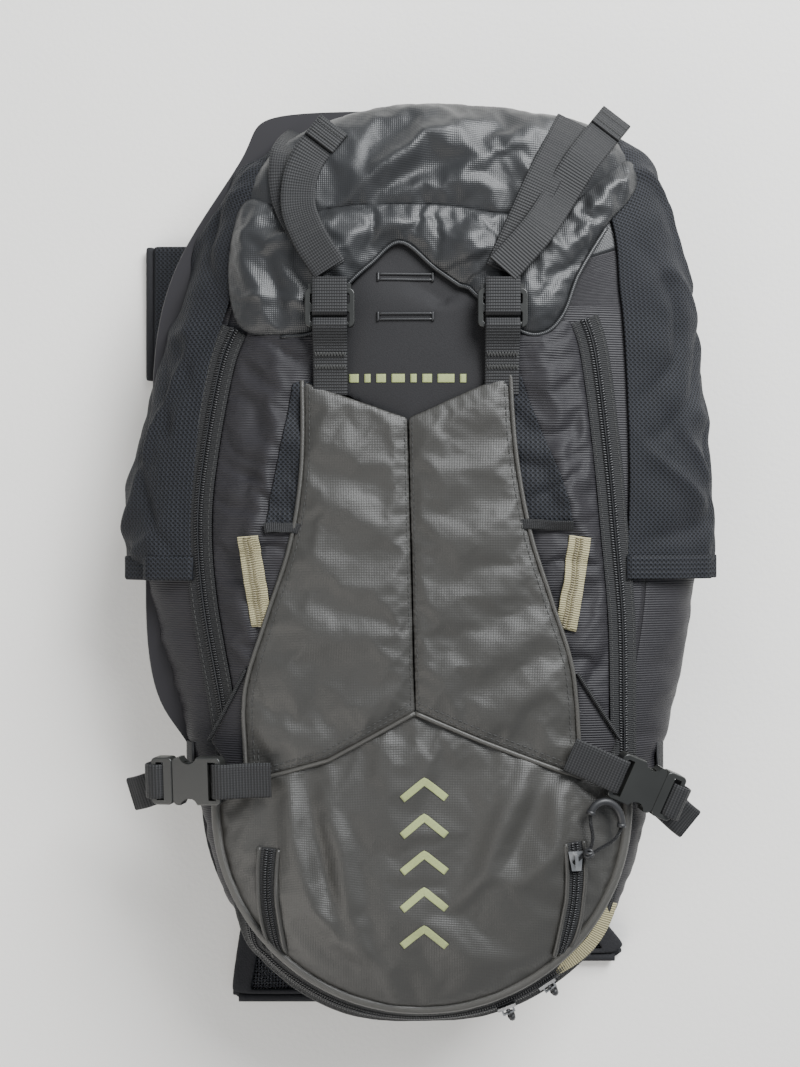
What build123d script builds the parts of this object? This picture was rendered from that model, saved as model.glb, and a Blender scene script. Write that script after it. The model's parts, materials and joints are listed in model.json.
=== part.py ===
from build123d import *
import os
from math import cos, hypot, pi, radians, sin

# Hydration pack for mountain riding, lying on its back, in millimetres.
# The origin is on the surface that it lies on, under the middle of the pack. +Z is up, out of the
# pack's front. +Y points to the pack's base and -Y to its top, where the shoulder straps join. The
# back half is a foam panel with a protector plate and a drinking reservoir behind a divider. The
# front half is the main compartment, closed by a curved zip, under a harness and a front pocket.

# ---- Driving dimensions ----
# Bag outline, in plan
base_y = 269.0  # the bag's base
arch_y = -140.0  # centre of the round top end
arch_radius = 128.0  # round top end, at its widest level
half_width = 165.0  # widest level, at mid length
front_half = 106.0  # front face, at mid length
back_half = 138.0  # back seam, at mid length
# Levels, from the surface up
under_height = 9.0  # what lies between the back panel and the surface
foam_thickness = 11.7
bag_depth = 79.0  # back seam to front face
widest_height = 29.0  # above the back seam
wall = 2.4  # a bag panel with its lining and seam allowance
back_wall = 1.4
gap = 0.3  # between pieces that lie against each other
# Hydration
protector_thickness = 9.5
film_wall = 1.2
reservoir_width = 172.0
reservoir_length = 392.0
reservoir_depth = 15.0
reservoir_top_y = -226.0
port_radius = 30.0  # inside the filling port
port_y = -148.0
cap_height = 8.0
tube_bore = 4.6  # radius of the socket for a drinking tube
tube_depth = 14.0
# Webbing and hardware
webbing_width = 20.0
webbing = 1.6  # thickness
flap_height = 10.0
pocket_height = 11.0
gusset_height = 8.0
fabric = 1.0
harness_thickness = 2.0

# ---- Levels worked out from these ----
foam_z = under_height
bag_z = foam_z + foam_thickness + gap
inner_z = bag_z + back_wall
front_z = bag_z + bag_depth
inner_front_z = front_z - wall
widest_z = bag_z + widest_height
protector_z = inner_z + gap
reservoir_z = protector_z + protector_thickness + gap
reservoir_front_z = reservoir_z + reservoir_depth
cap_z = reservoir_front_z + 2.6
divider_z = cap_z + cap_height + 6.0
mouth_z = reservoir_z - gap
mouth_half = reservoir_width / 2 + 4.0
zip_band = 13.0
zip_band_z = inner_front_z - zip_band
zip_end_y = base_y - 145.0
under_layer_z = front_z + gap  # thin pockets and zips on the front wall
harness_z = under_layer_z + fabric + gap
flap_top = front_z + flap_height
pocket_top = front_z + pocket_height

os.makedirs("parts", exist_ok=True)


def keep(builder, name):
    """Labels a finished piece and writes it as its own node."""
    builder.part.label = name
    export_step(builder.part, f"parts/{name}.step")


def side_name(side):
    return "right" if side > 0 else "left"


# ---- Bag outline at its three levels ----
def widest_points(grow):
    w = half_width + grow
    return [
        (w - 12, arch_y + 52),
        (w, arch_y + 100),
        (w - 2, base_y - 205),
        (w - 18, base_y - 92),
        (w - 60, base_y - 24 + grow),
        (0, base_y + grow),
    ]


def front_points(grow):
    w = front_half + grow
    return [
        (w + 4, arch_y + 60),
        (w, arch_y + 110),
        (w - 1, base_y - 205),
        (w - 3, base_y - 110),
        (w - 26, base_y - 22 + grow),
        (0, base_y - 5 + grow),
    ]


def back_points(grow):
    w = back_half + grow
    return [
        (w - 10, arch_y + 60),
        (w, arch_y + 140),
        (w - 1, base_y - 190),
        (w - 12, base_y - 90),
        (w - 50, base_y - 24 + grow),
        (0, base_y - 7 + grow),
    ]


def outline(points, radius):
    """Half an outline as a curve, its mirror image, and the round top end."""
    with BuildLine() as line:
        Spline(
            [(radius, arch_y), *points],
            tangents=[(0, 1), (-1, 0)],
        )
        mirror(about=Plane.YZ)
        CenterArc((0, arch_y), radius, 180, 180)
    return line


def bag_solid(low, high, grow=0.0):
    """The bag's outer form from level low to level high, grown or shrunk all round."""
    levels = [
        (low, back_points(grow), arch_radius - 12 + grow),
        (widest_z, widest_points(grow), arch_radius + grow),
        (high, front_points(grow), arch_radius - 6 + grow),
    ]
    with BuildPart() as solid:
        for level, points, radius in levels:
            with BuildSketch(Plane.XY.offset(level)):
                add(outline(points, radius).line)
                make_face()
        loft()
    return solid.part


bag_outer = bag_solid(bag_z, front_z)
bag_inner = bag_solid(inner_z, inner_front_z, -wall)
bag_bead = bag_solid(bag_z, front_z, 1.3)


def bag_panel(low, high, x_low, x_high, y_low, y_high, cut=None):
    """The stretch of the bag's skin inside one box of space."""
    with BuildPart() as panel:
        add(bag_outer)
        add(bag_inner, mode=Mode.SUBTRACT)
        with BuildSketch(Plane.XY.offset(low)):
            with Locations(((x_low + x_high) / 2, (y_low + y_high) / 2)):
                Rectangle(x_high - x_low, y_high - y_low)
        extrude(amount=high - low, mode=Mode.INTERSECT)
        if cut:
            with BuildSketch(Plane.XY.offset(cut[0])):
                with Locations((0, (cut[2] + cut[3]) / 2)):
                    Rectangle(4 * half_width, cut[3] - cut[2])
            extrude(amount=cut[1] - cut[0], mode=Mode.SUBTRACT)
    return panel


far = 4 * half_width
zip_cut = (zip_band_z, inner_front_z, -far, zip_end_y)
keep(bag_panel(bag_z, inner_z, -far, far, -far, far), "back_wall")
keep(bag_panel(inner_front_z, front_z, -far, far, -far, far), "front_wall")
keep(bag_panel(inner_z, inner_front_z, mouth_half, far, -far, far, zip_cut), "side_wall_right")
keep(bag_panel(inner_z, inner_front_z, -far, -mouth_half, -far, far, zip_cut), "side_wall_left")
keep(bag_panel(inner_z, inner_front_z, -mouth_half, mouth_half, 0, far), "base_wall")
hood = bag_panel(divider_z, zip_band_z, -mouth_half, mouth_half, -far, 0)
collar = bag_panel(inner_z, mouth_z, -mouth_half, mouth_half, -far, 0)
with BuildPart() as top_wall:
    add(hood.part)
    add(collar.part)
keep(top_wall, "top_wall")
keep(bag_panel(zip_band_z, inner_front_z, -far, far, -far, zip_end_y), "main_zip_tape")

# The zip's teeth stand out of the tape as one bead.
bead_z = zip_band_z + zip_band / 2
bead_half = 1.8
with BuildPart() as main_zip_teeth:
    add(bag_bead)
    add(bag_outer, mode=Mode.SUBTRACT)
    with BuildSketch(Plane.XY.offset(bead_z - bead_half)):
        with Locations((0, (zip_end_y - far) / 2)):
            Rectangle(2 * far, far + zip_end_y)
    extrude(amount=2 * bead_half, mode=Mode.INTERSECT)
keep(main_zip_teeth, "main_zip_teeth")

# ---- Divider in front of the reservoir ----
with BuildPart() as divider:
    add(bag_inner)
    with BuildSketch(Plane.XY.offset(divider_z)):
        Rectangle(2 * far, 2 * far)
    extrude(amount=fabric, mode=Mode.INTERSECT)
keep(divider, "reservoir_divider")

# ---- Back panel: foam, its binding and the pads that hold it off the wearer's back ----
foam_base_y = base_y + 12.0
foam_points = [
    (back_half - 8, arch_y + 60),
    (back_half, arch_y + 140),
    (back_half, base_y - 150),
    (back_half - 14, base_y - 60),
    (back_half - 64, foam_base_y - 3),
    (0, foam_base_y),
]
binding_width = 3.0
with BuildPart() as back_foam:
    with BuildSketch(Plane.XY.offset(foam_z)):
        add(outline([(x - binding_width if x else 0, y - binding_width) for x, y in foam_points],
                    arch_radius - 18 - binding_width).line)
        make_face()
    extrude(amount=foam_thickness)
keep(back_foam, "back_foam")

with BuildPart() as back_binding:
    with BuildSketch(Plane.XY.offset(foam_z + 3)):
        add(outline(foam_points, arch_radius - 18).line)
        make_face()
        with BuildSketch(Plane.XY.offset(foam_z + 3), mode=Mode.SUBTRACT):
            add(outline([(x - binding_width + 0.05 if x else 0, y - binding_width + 0.05)
                         for x, y in foam_points],
                        arch_radius - 18 - binding_width + 0.05).line)
            make_face()
    extrude(amount=foam_thickness - 4)
keep(back_binding, "back_binding")

# Pads against the wearer's back: one for each side of the lumbar, and one up the spine.
lumbar_width = 52.0
lumbar_length = 118.0
lumbar_x = 34.0
lumbar_y = 138.0
spine_pad_width = 30.0
spine_pad_length = 150.0
spine_pad_y = -128.0
with BuildPart() as back_pads:
    with BuildSketch():
        with Locations((-lumbar_x, lumbar_y), (lumbar_x, lumbar_y)):
            RectangleRounded(lumbar_width, lumbar_length, 12)
        with Locations((0, spine_pad_y)):
            RectangleRounded(spine_pad_width, spine_pad_length, 12)
    extrude(amount=under_height)
    fillet(back_pads.faces().sort_by(Axis.Z)[:3].edges(), 2)
keep(back_pads, "back_pads")

# The hip belt's fixed ends, which its wings fold from.
wing_fold = {-1: 172.0, 1: 140.0}  # from the pack's middle to each wing's fold
wing_y = base_y - 113.0
wing_length = 86.0
wing_thickness = 4.0
crease_radius = 2.7
fold_clear = 0.4
root_start = 96.0
root_low = wing_thickness + fold_clear
root_thickness = under_height - root_low - gap
with BuildPart() as belt_roots:
    for side in (-1, 1):
        root_end = wing_fold[side] - 2 * crease_radius - gap
        with BuildSketch(Plane.XY.offset(root_low)):
            with Locations((side * (root_start + root_end) / 2, wing_y)):
                Rectangle(root_end - root_start, wing_length)
        extrude(amount=root_thickness)
keep(belt_roots, "belt_roots")

# ---- Protector plate behind the reservoir ----
protector_width = 196.0
protector_length = 380.0
protector_y = -10.0
with BuildPart() as protector_plate:
    with BuildSketch(Plane.XY.offset(protector_z)):
        with Locations((0, protector_y)):
            RectangleRounded(protector_width, protector_length, 60)
    extrude(amount=protector_thickness)
    with BuildSketch(protector_plate.faces().sort_by(Axis.Z)[0]):
        with GridLocations(48, 52, 3, 6):
            RectangleRounded(34, 38, 6)
    extrude(amount=-4, mode=Mode.SUBTRACT)
keep(protector_plate, "protector_plate")

# ---- Reservoir: two films welded at the rim, filling port, cap, handle and tube socket ----
reservoir_y = reservoir_top_y + reservoir_length / 2
corner = 32.0
neck_wall = 4.0
neck_radius = port_radius + neck_wall
socket_x = 56.0
socket_y = 118.0


def reservoir_sketch(inset):
    return RectangleRounded(
        reservoir_width - 2 * inset, reservoir_length - 2 * inset, corner - inset
    )


with BuildPart() as reservoir_back_film:
    with BuildSketch(Plane.XY.offset(reservoir_z)):
        with Locations((0, reservoir_y)):
            reservoir_sketch(0)
    extrude(amount=film_wall)
keep(reservoir_back_film, "reservoir_back_film")

weld = 6.0
front_film_z = reservoir_z + film_wall
with BuildPart() as reservoir_front_film:
    with BuildSketch(Plane.XY.offset(front_film_z)):
        with Locations((0, reservoir_y)):
            reservoir_sketch(0)
    extrude(amount=film_wall)
    with BuildSketch(Plane.XY.offset(front_film_z)):
        with Locations((0, reservoir_y)):
            reservoir_sketch(weld)
    extrude(amount=reservoir_front_z - front_film_z)
    fillet(reservoir_front_film.faces().sort_by(Axis.Z)[-1].edges(), 4)
    with BuildSketch(Plane.XY.offset(front_film_z)):
        with Locations((0, reservoir_y)):
            reservoir_sketch(weld + film_wall)
    extrude(amount=reservoir_depth - 2 * film_wall, mode=Mode.SUBTRACT)
    with BuildSketch(Plane.XY.offset(front_film_z)):
        with Locations((0, port_y)):
            Circle(neck_radius)
    extrude(amount=reservoir_depth, mode=Mode.SUBTRACT)
    with BuildSketch(Plane.XY.offset(reservoir_front_z - film_wall)):
        with Locations((socket_x, socket_y)):
            Circle(3)
    extrude(amount=film_wall, mode=Mode.SUBTRACT)
keep(reservoir_front_film, "reservoir_front_film")

flange = 7.0
with BuildPart() as filling_port:
    with BuildSketch(Plane.XY.offset(reservoir_front_z)):
        with Locations((0, port_y)):
            Circle(neck_radius + flange)
    extrude(amount=cap_z - reservoir_front_z - gap)
    with BuildSketch(Plane.XY.offset(reservoir_front_z - film_wall - 2)):
        with Locations((0, port_y)):
            Circle(neck_radius)
    extrude(amount=film_wall + 2)
    with BuildSketch(Plane.XY.offset(reservoir_front_z - film_wall - 2)):
        with Locations((0, port_y)):
            Circle(port_radius)
    extrude(amount=cap_z, mode=Mode.SUBTRACT)
keep(filling_port, "filling_port")

plug_radius = port_radius - 0.5
grip_width = 9.0
grip_length = 52.0
with BuildPart() as reservoir_cap:
    with BuildSketch(Plane.XY.offset(cap_z)):
        with Locations((0, port_y)):
            Circle(neck_radius + 3)
    extrude(amount=cap_height - 4)
    with BuildSketch(Plane.XY.offset(reservoir_front_z - 1)):
        with Locations((0, port_y)):
            Circle(plug_radius)
    extrude(amount=cap_z - reservoir_front_z + 1)
    with BuildSketch(Plane.XY.offset(cap_z + cap_height - 4)):
        with Locations((0, port_y)):
            SlotOverall(grip_length, grip_width)
    extrude(amount=4)
    fillet(reservoir_cap.faces().sort_by(Axis.Z)[-1].edges(), 1.2)
keep(reservoir_cap, "reservoir_cap")

# The handle is a plate that holds the port's flange and reaches towards the pack's top.
handle_width = 46.0
handle_end_y = reservoir_top_y + 6.0
with BuildPart() as port_handle:
    with BuildSketch(Plane.XY.offset(reservoir_front_z + gap)):
        with Locations((0, (handle_end_y + port_y) / 2)):
            RectangleRounded(handle_width, port_y - handle_end_y, 9)
        with Locations((0, port_y)):
            Circle(neck_radius + flange + gap, mode=Mode.SUBTRACT)
        with Locations((0, handle_end_y + 13)):
            SlotOverall(30, 12, mode=Mode.SUBTRACT)
    extrude(amount=3.4)
keep(port_handle, "port_handle")

# Low elbow that a drinking tube pushes into, with its release button beside it.
socket_radius = tube_bore + 3.0
socket_z = reservoir_front_z + socket_radius + 0.4
socket_length = tube_depth + 8.0
button_half = 3.0
with BuildPart() as tube_socket:
    with BuildSketch(Plane.XY.offset(reservoir_front_z)):
        with Locations((socket_x, socket_y)):
            Circle(13)
    extrude(amount=2)
    with BuildSketch(Plane.XZ.offset(-socket_y - 6)):
        with Locations((socket_x, socket_z)):
            Circle(socket_radius)
    extrude(amount=socket_length + 6)
    with BuildSketch(Plane.XZ.offset(-socket_y + socket_length)):
        with Locations((socket_x, socket_z)):
            Circle(tube_bore)
    extrude(amount=-tube_depth, mode=Mode.SUBTRACT)
    with BuildSketch(Plane.YZ.offset(socket_x)):
        with Locations((socket_y + 1, socket_z)):
            Rectangle(2 * button_half + 0.8, 2 * button_half + 0.8)
    extrude(amount=socket_radius + 1, mode=Mode.SUBTRACT)
keep(tube_socket, "tube_socket")

button_travel = 2.0
with BuildPart() as release_button:
    with BuildSketch(Plane.YZ.offset(socket_x + button_travel + gap)):
        with Locations((socket_y + 1, socket_z)):
            Rectangle(2 * button_half, 2 * button_half)
    extrude(amount=socket_radius + 1)
    fillet(release_button.edges().filter_by(Axis.X), 0.8)
keep(release_button, "release_button")

# ---- Front pieces, as plates on the front wall ----
def plate(points, low, thickness, closed_curve=None):
    """A plate on a straight-sided outline, with one stretch as a curve when given."""
    with BuildPart() as piece:
        with BuildSketch(Plane.XY.offset(low)):
            with BuildLine():
                Polyline(*points)
                if closed_curve:
                    Spline(*closed_curve)
            make_face()
        extrude(amount=thickness)
    return piece


harness_top_half = 58.0
harness_top_y = base_y - 163.0
harness_notch_y = harness_top_y - 23.0
harness_arm_half = 93.0
harness_arm_y = -66.0
harness_low_y = -124.0
harness_point_y = -86.0


def harness_curve(side):
    """The hollow outer edge, from the top corner to the arm."""
    run = harness_top_y - harness_arm_y
    return [
        (side * harness_top_half, harness_top_y),
        (side * (harness_top_half + 2), harness_top_y - 0.285 * run),
        (side * (harness_top_half + 10), harness_top_y - 0.541 * run),
        (side * (harness_arm_half - 12), harness_top_y - 0.779 * run),
        (side * harness_arm_half, harness_arm_y),
    ]

seam_gap = 0.2
for side in (-1, 1):
    curve = harness_curve(side)
    harness_half = plate(
        [
            curve[-1],
            (side * harness_arm_half, harness_low_y),
            (side * seam_gap, harness_point_y),
            (side * seam_gap, harness_notch_y),
            curve[0],
        ],
        harness_z,
        harness_thickness,
        curve,
    )
    keep(harness_half, f"harness_{side_name(side)}")

# Stretch panel above the notch, with two slots for a light or a cord.
stretch_half = 37.0
stretch_side_y = base_y - 121.0
stretch_peak_y = base_y - 88.0
slot_length = 31.0
slot_width = 2.6
slot_y = base_y - 130.5
slot_pitch = 23.3
with BuildPart() as stretch_panel:
    with BuildSketch(Plane.XY.offset(under_layer_z)):
        with BuildLine():
            Polyline(
                (0, harness_notch_y - 14),
                (stretch_half, harness_notch_y),
                (stretch_half, stretch_side_y),
                (0, stretch_peak_y),
                (-stretch_half, stretch_side_y),
                (-stretch_half, harness_notch_y),
                close=True,
            )
        make_face()
        with Locations((0, slot_y), (0, slot_y + slot_pitch)):
            SlotOverall(slot_length, slot_width, mode=Mode.SUBTRACT)
    extrude(amount=fabric)
keep(stretch_panel, "stretch_panel")

# Coated flap over the base, notched over the stretch panel.
flap_clear = 1.0
with BuildPart() as base_flap:
    with BuildSketch(Plane.XY.offset(front_z)):
        with BuildLine():
            right = Spline(
                (80, base_y - 138),
                (93, base_y - 118),
                (107, base_y - 78),
                (113, base_y - 50),
                (98, base_y - 22),
                (0, base_y - 10),
                tangents=[(1, 0.4), (-1, 0)],
            )
            Polyline(
                right @ 0,
                (57, base_y - 138),
                (stretch_half + flap_clear, stretch_side_y + flap_clear),
                (0, stretch_peak_y + 2 * flap_clear),
            )
            mirror(about=Plane.YZ)
        make_face()
    extrude(amount=flap_height)
    fillet(base_flap.faces().sort_by(Axis.Z)[-1].outer_wire().edges(), 4)
keep(base_flap, "base_flap")

# Bellows of ribbed cloth beside the harness, over the inner pockets.
gusset_z = harness_z
gusset_low_y = arch_y + 55.0
gusset_run = base_y - 151.0 - gusset_low_y
with BuildPart() as gussets:
    with BuildSketch(Plane.XY.offset(gusset_z)):
        with BuildLine():
            inner = Spline(
                (104, gusset_low_y),
                (99, gusset_low_y + 0.202 * gusset_run),
                (88, gusset_low_y + 0.443 * gusset_run),
                (79, gusset_low_y + 0.557 * gusset_run),
                (69, gusset_low_y + 0.764 * gusset_run),
                (67, gusset_low_y + gusset_run),
            )
            outer = Spline(
                (99, gusset_low_y + gusset_run),
                (108, gusset_low_y + 0.714 * gusset_run),
                (114, gusset_low_y + 0.419 * gusset_run),
                (115, gusset_low_y + 0.172 * gusset_run),
                (110, gusset_low_y),
            )
            Line(inner @ 1, outer @ 0)
            Line(outer @ 1, inner @ 0)
        make_face()
    extrude(amount=gusset_height)
    mirror(about=Plane.YZ)
keep(gussets, "gussets")

# Inner mesh pockets and the pale zips under the harness edge.
mesh_hem_y = base_y - 254.0
mesh_inner = 44.0
mesh_outer = 84.0
with BuildPart() as inner_mesh_pockets:
    with BuildSketch(Plane.XY.offset(under_layer_z)):
        with BuildLine():
            Polyline(
                (mesh_inner, mesh_hem_y),
                (mesh_outer, mesh_hem_y),
                (mesh_outer - 16, harness_top_y + 20),
                (mesh_inner, harness_top_y + 20),
                close=True,
            )
        make_face()
    extrude(amount=fabric)
    mirror(about=Plane.YZ)
keep(inner_mesh_pockets, "inner_mesh_pockets")

pale_zip_width = 12.0
pale_zip_top = (92.0, mesh_hem_y - gap - pale_zip_width / 2)
pale_zip_low = (66.0, -66.0)
with BuildPart() as pale_zips:
    with BuildSketch(Plane.XY.offset(under_layer_z)):
        with BuildLine():
            Line(pale_zip_top, pale_zip_low)
        trace(line_width=pale_zip_width)
    extrude(amount=fabric)
    mirror(about=Plane.YZ)
keep(pale_zips, "pale_zips")

# Front pocket at the pack's top end, its rim piping and its curved zip.
rim_width = 5.4
rim_radius = arch_radius - 6.5 - rim_width / 2
with BuildPart() as rim_piping:
    with BuildSketch(Plane.XY.offset(front_z)):
        with BuildLine():
            CenterArc((0, arch_y), rim_radius, 180, 180)
        trace(line_width=rim_width)
    extrude(amount=rim_width)
    fillet(rim_piping.edges().group_by(Axis.Z)[-1], 1.6)
keep(rim_piping, "rim_piping")

pocket_radius = rim_radius - rim_width / 2 - gap
pocket_clear = 1.0
pocket_round = 3.2
slope = (harness_point_y - harness_low_y) / harness_arm_half
with BuildPart() as front_pocket:
    with BuildSketch(Plane.XY.offset(front_z)):
        with BuildLine():
            round_end = CenterArc((0, arch_y), pocket_radius, 270, 50)
            way = round_end % 1
            right = Spline(
                round_end @ 1,
                (106, arch_y - 22),
                (98, arch_y),
                tangents=[(way.X, way.Y), (-0.5, 1)],
            )
            Polyline(
                right @ 1,
                (80, harness_point_y - slope * 80 - pocket_clear),
                (0, harness_point_y - pocket_clear),
            )
            mirror(about=Plane.YZ)
        make_face()
    extrude(amount=pocket_height)
    fillet(front_pocket.faces().sort_by(Axis.Z)[-1].edges(), pocket_round)
keep(front_pocket, "front_pocket")

pocket_zip_radius = 145.0
pocket_zip_half = 85.0
pocket_zip_shift = 5.0  # the pocket's zip sits a little to the right
pocket_zip_centre = (pocket_zip_shift + pocket_zip_half - pocket_zip_radius, arch_y - 36.0)
pocket_zip_start = 5.0
pocket_zip_end = -19.0
pocket_zip_width = 9.0
pocket_zip_low_y = arch_y - pocket_radius + 10

tape = 0.8
teeth_width = 2.8
teeth_height = 1.1
with BuildPart() as pocket_zip:
    for low, width, thickness in (
        (pocket_top, pocket_zip_width, tape),
        (pocket_top + tape, teeth_width, teeth_height),
    ):
        with BuildSketch(Plane.XY.offset(low)):
            with BuildLine():
                run = CenterArc(
                    pocket_zip_centre,
                    pocket_zip_radius,
                    pocket_zip_start,
                    pocket_zip_end - pocket_zip_start,
                )
                end = run @ 1
                way = run % 1
                Spline(
                    (end.X, end.Y),
                    (pocket_zip_shift, pocket_zip_low_y),
                    tangents=[(way.X, way.Y), (-1, 0)],
                )
                mirror(about=Plane.YZ.offset(pocket_zip_shift))
            trace(line_width=width)
        extrude(amount=thickness)
keep(pocket_zip, "pocket_zip")

# ---- Zip sliders and pulls ----
slider_clear = 0.3
slider_plate = 1.8
bridge_length = 7.6
bridge_width = 1.8
bridge_height = 3.6
bridge_hole = 2.6
slider_z = pocket_top + tape + teeth_height + slider_clear
slider_angle = pocket_zip_start - 2.0
slider_at = Plane(
    origin=(
        pocket_zip_centre[0] + pocket_zip_radius * cos(radians(slider_angle)),
        pocket_zip_centre[1] + pocket_zip_radius * sin(radians(slider_angle)),
        slider_z,
    ),
    x_dir=(cos(radians(slider_angle + 90)), sin(radians(slider_angle + 90)), 0),
    z_dir=(0, 0, 1),
)


def zip_slider(at):
    """A slider along at's x: a waisted plate with the bridge that holds the pull."""
    with BuildPart() as slider:
        with BuildSketch(at):
            with BuildLine():
                Polyline(
                    (-5.5, -2.6),
                    (-1, -3.2),
                    (5.5, -4.2),
                    (5.5, 4.2),
                    (-1, 3.2),
                    (-5.5, 2.6),
                    close=True,
                )
            make_face()
        extrude(amount=slider_plate)
        with BuildSketch(at.offset(slider_plate)):
            Rectangle(bridge_length, bridge_width)
        extrude(amount=bridge_height)
        with BuildSketch(Plane(at.origin, x_dir=at.x_dir, z_dir=at.y_dir)):
            with Locations((0, -slider_plate - bridge_hole / 2)):
                Rectangle(bridge_length - 2.0, bridge_hole)
        extrude(amount=bridge_width, both=True, mode=Mode.SUBTRACT)
    return slider


keep(zip_slider(slider_at), "pocket_slider")

# The main zip is closed by two sliders that meet on the round end.
main_slider_radius = arch_y - main_zip_teeth.part.bounding_box().min.Y + slider_clear
main_slider_angles = {"left": -66.0, "right": -54.0}
pull_width = 5.0
pull_length = 20.0
pull_thickness = 1.6
for name, angle in main_slider_angles.items():
    radial = Vector(cos(radians(angle)), sin(radians(angle)), 0)
    along = Vector(-sin(radians(angle)), cos(radians(angle)), 0)
    at = Plane(
        origin=Vector(0, arch_y, bead_z) + radial * main_slider_radius, x_dir=along, z_dir=radial
    )
    keep(zip_slider(at), f"main_slider_{name}")
    with BuildPart() as main_pull:
        with BuildSketch(at.offset(slider_plate + gap)):
            with Locations((0, -pull_length / 2 + 5)):
                RectangleRounded(pull_width, pull_length, 2)
            with Locations((0, 0.6)):
                Rectangle(pull_width - 2.2, bridge_width + 3.0, mode=Mode.SUBTRACT)
        extrude(amount=pull_thickness)
    keep(main_pull, f"main_pull_{name}")

# The pocket's pull is a loop of cord with a moulded grip.
cord_diameter = 2.0
cord_route = [
    (88.0, -169.4, 116.3),
    (91.6, -166.6, 116.3),
    (95.4, -163.6, 116.2),
    (98.6, -159.6, 115.8),
    (99.2, -153.6, 115.4),
    (97.8, -147.4, 115.0),
    (97.6, -141.2, 114.8),
    (100.8, -136.4, 114.4),
    (106.6, -134.6, 113.6),
    (112.0, -137.4, 112.2),
    (115.4, -142.8, 111.2),
    (116.2, -149.2, 111.0),
    (113.6, -155.4, 111.8),
    (108.0, -159.2, 113.6),
    (102.4, -161.2, 116.6),
    (98.2, -163.4, 118.2),
]
knot = (96.6, -163.8, 117.5)
knot_radius = 3.3
grip_radius = 2.1


def route_radii(points):
    """The largest arc that each corner's two runs allow."""
    radii = []
    for before, here, after in zip(points, points[1:], points[2:]):
        into = Vector(here) - Vector(before)
        out = Vector(after) - Vector(here)
        half_turn = radians(into.get_angle(out)) / 2
        radii.append(0.45 * min(into.length, out.length) / (sin(half_turn) / cos(half_turn)))
    return radii


radii = route_radii(cord_route)
with BuildPart() as pull_cord:
    with BuildLine() as cord_path:
        FilletPolyline(*cord_route, radius=radii)
    with BuildSketch(Plane(origin=cord_path.line @ 0, z_dir=cord_path.line % 0)):
        Circle(cord_diameter / 2)
    sweep()
keep(pull_cord, "pull_cord")
cord_length = cord_path.wires()[0].length
share = pull_cord.part.volume / (pi * (cord_diameter / 2) ** 2 * cord_length)
print("cord radii", [round(r, 1) for r in radii])
print("cord length", round(cord_length, 1), "volume share", round(share, 4))

# The grip is moulded round the loop's far end, and a knot ties the cord's two runs together.
grip_first = 6
grip_last = 11
grip_start = (Vector(cord_route[grip_first - 1]) + Vector(cord_route[grip_first])) / 2
grip_end = (Vector(cord_route[grip_last]) + Vector(cord_route[grip_last + 1])) / 2
grip_route = [grip_start, *cord_route[grip_first:grip_last + 1], grip_end]
with BuildPart() as pull_grip:
    with BuildLine() as grip_path:
        FilletPolyline(*grip_route, radius=radii[grip_first - 1:grip_last])
    with BuildSketch(Plane(origin=grip_path.line @ 0, z_dir=grip_path.line % 0)):
        Circle(grip_radius)
        Circle(cord_diameter / 2 + 0.1, mode=Mode.SUBTRACT)
    sweep()
    with Locations(knot):
        Sphere(knot_radius)
keep(pull_grip, "pull_grip")

# ---- Webbing and buckles ----
def upright(start, towards):
    """A vertical plane through start: x runs level towards the second point, y is up."""
    dx, dy = towards[0] - start[0], towards[1] - start[1]
    size = hypot(dx, dy)
    return Plane(origin=(start[0], start[1], 0), x_dir=(dx / size, dy / size, 0),
                 z_dir=(dy / size, -dx / size, 0))


ladder_x = 48.5
ladder_y = base_y - 127.0
ladder_z = flap_top + webbing + 1.4
ladder_width = webbing_width + 8.0
ladder_length = 22.0
ladder_thickness = 4.0
bar_radius = 1.8
slot_room = webbing_width + 1.6
bar_offset = ladder_length / 2 - bar_radius - 0.2
tab_top = harness_z + harness_thickness
loop_radius = bar_radius + 0.8 + webbing / 2
strap_start = 6.5  # from the threaded webbing to the straps
strap_ends = {-1: (-62.0, base_y - 3.0), 1: (104.0, base_y - 7.0)}
tail_ends = {-1: (-44.0, base_y + 1.0), 1: (118.0, base_y - 3.0)}

bar_y = ladder_z + ladder_thickness / 2
lip_y = ladder_y + ladder_length / 2

# Tabs of webbing on the harness corners, and their loops round the ladder-locks' fixed bars.
with BuildPart() as ladder_loops:
    for side in (-1, 1):
        with BuildSketch(Plane.XY.offset(harness_z)):
            with BuildLine():
                Polyline(
                    (side * 36, harness_notch_y + 15.5),
                    (side * (harness_top_half - 0.4), harness_top_y + 0.6),
                    (side * (harness_top_half - 0.4), harness_top_y + 19),
                    (side * 36, harness_top_y + 19),
                    close=True,
                )
            make_face()
        extrude(amount=harness_thickness)
        with BuildSketch(upright((side * ladder_x, ladder_y), (side * ladder_x, base_y))):
            with BuildLine():
                under = Polyline(
                    (-34, tab_top + gap + webbing / 2),
                    (-26, tab_top + gap + webbing / 2),
                    (-bar_offset, bar_y - loop_radius),
                )
                turn = ThreePointArc(
                    under @ 1,
                    (-bar_offset + loop_radius, bar_y),
                    (-bar_offset, bar_y + loop_radius),
                )
                Polyline(
                    turn @ 1,
                    (-24, tab_top + gap + 2.3 * webbing + 1.4),
                    (-34, tab_top + gap + 1.6 * webbing),
                )
            trace(line_width=webbing)
        extrude(amount=webbing_width / 2, both=True)
keep(ladder_loops, "ladder_loops")

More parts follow.
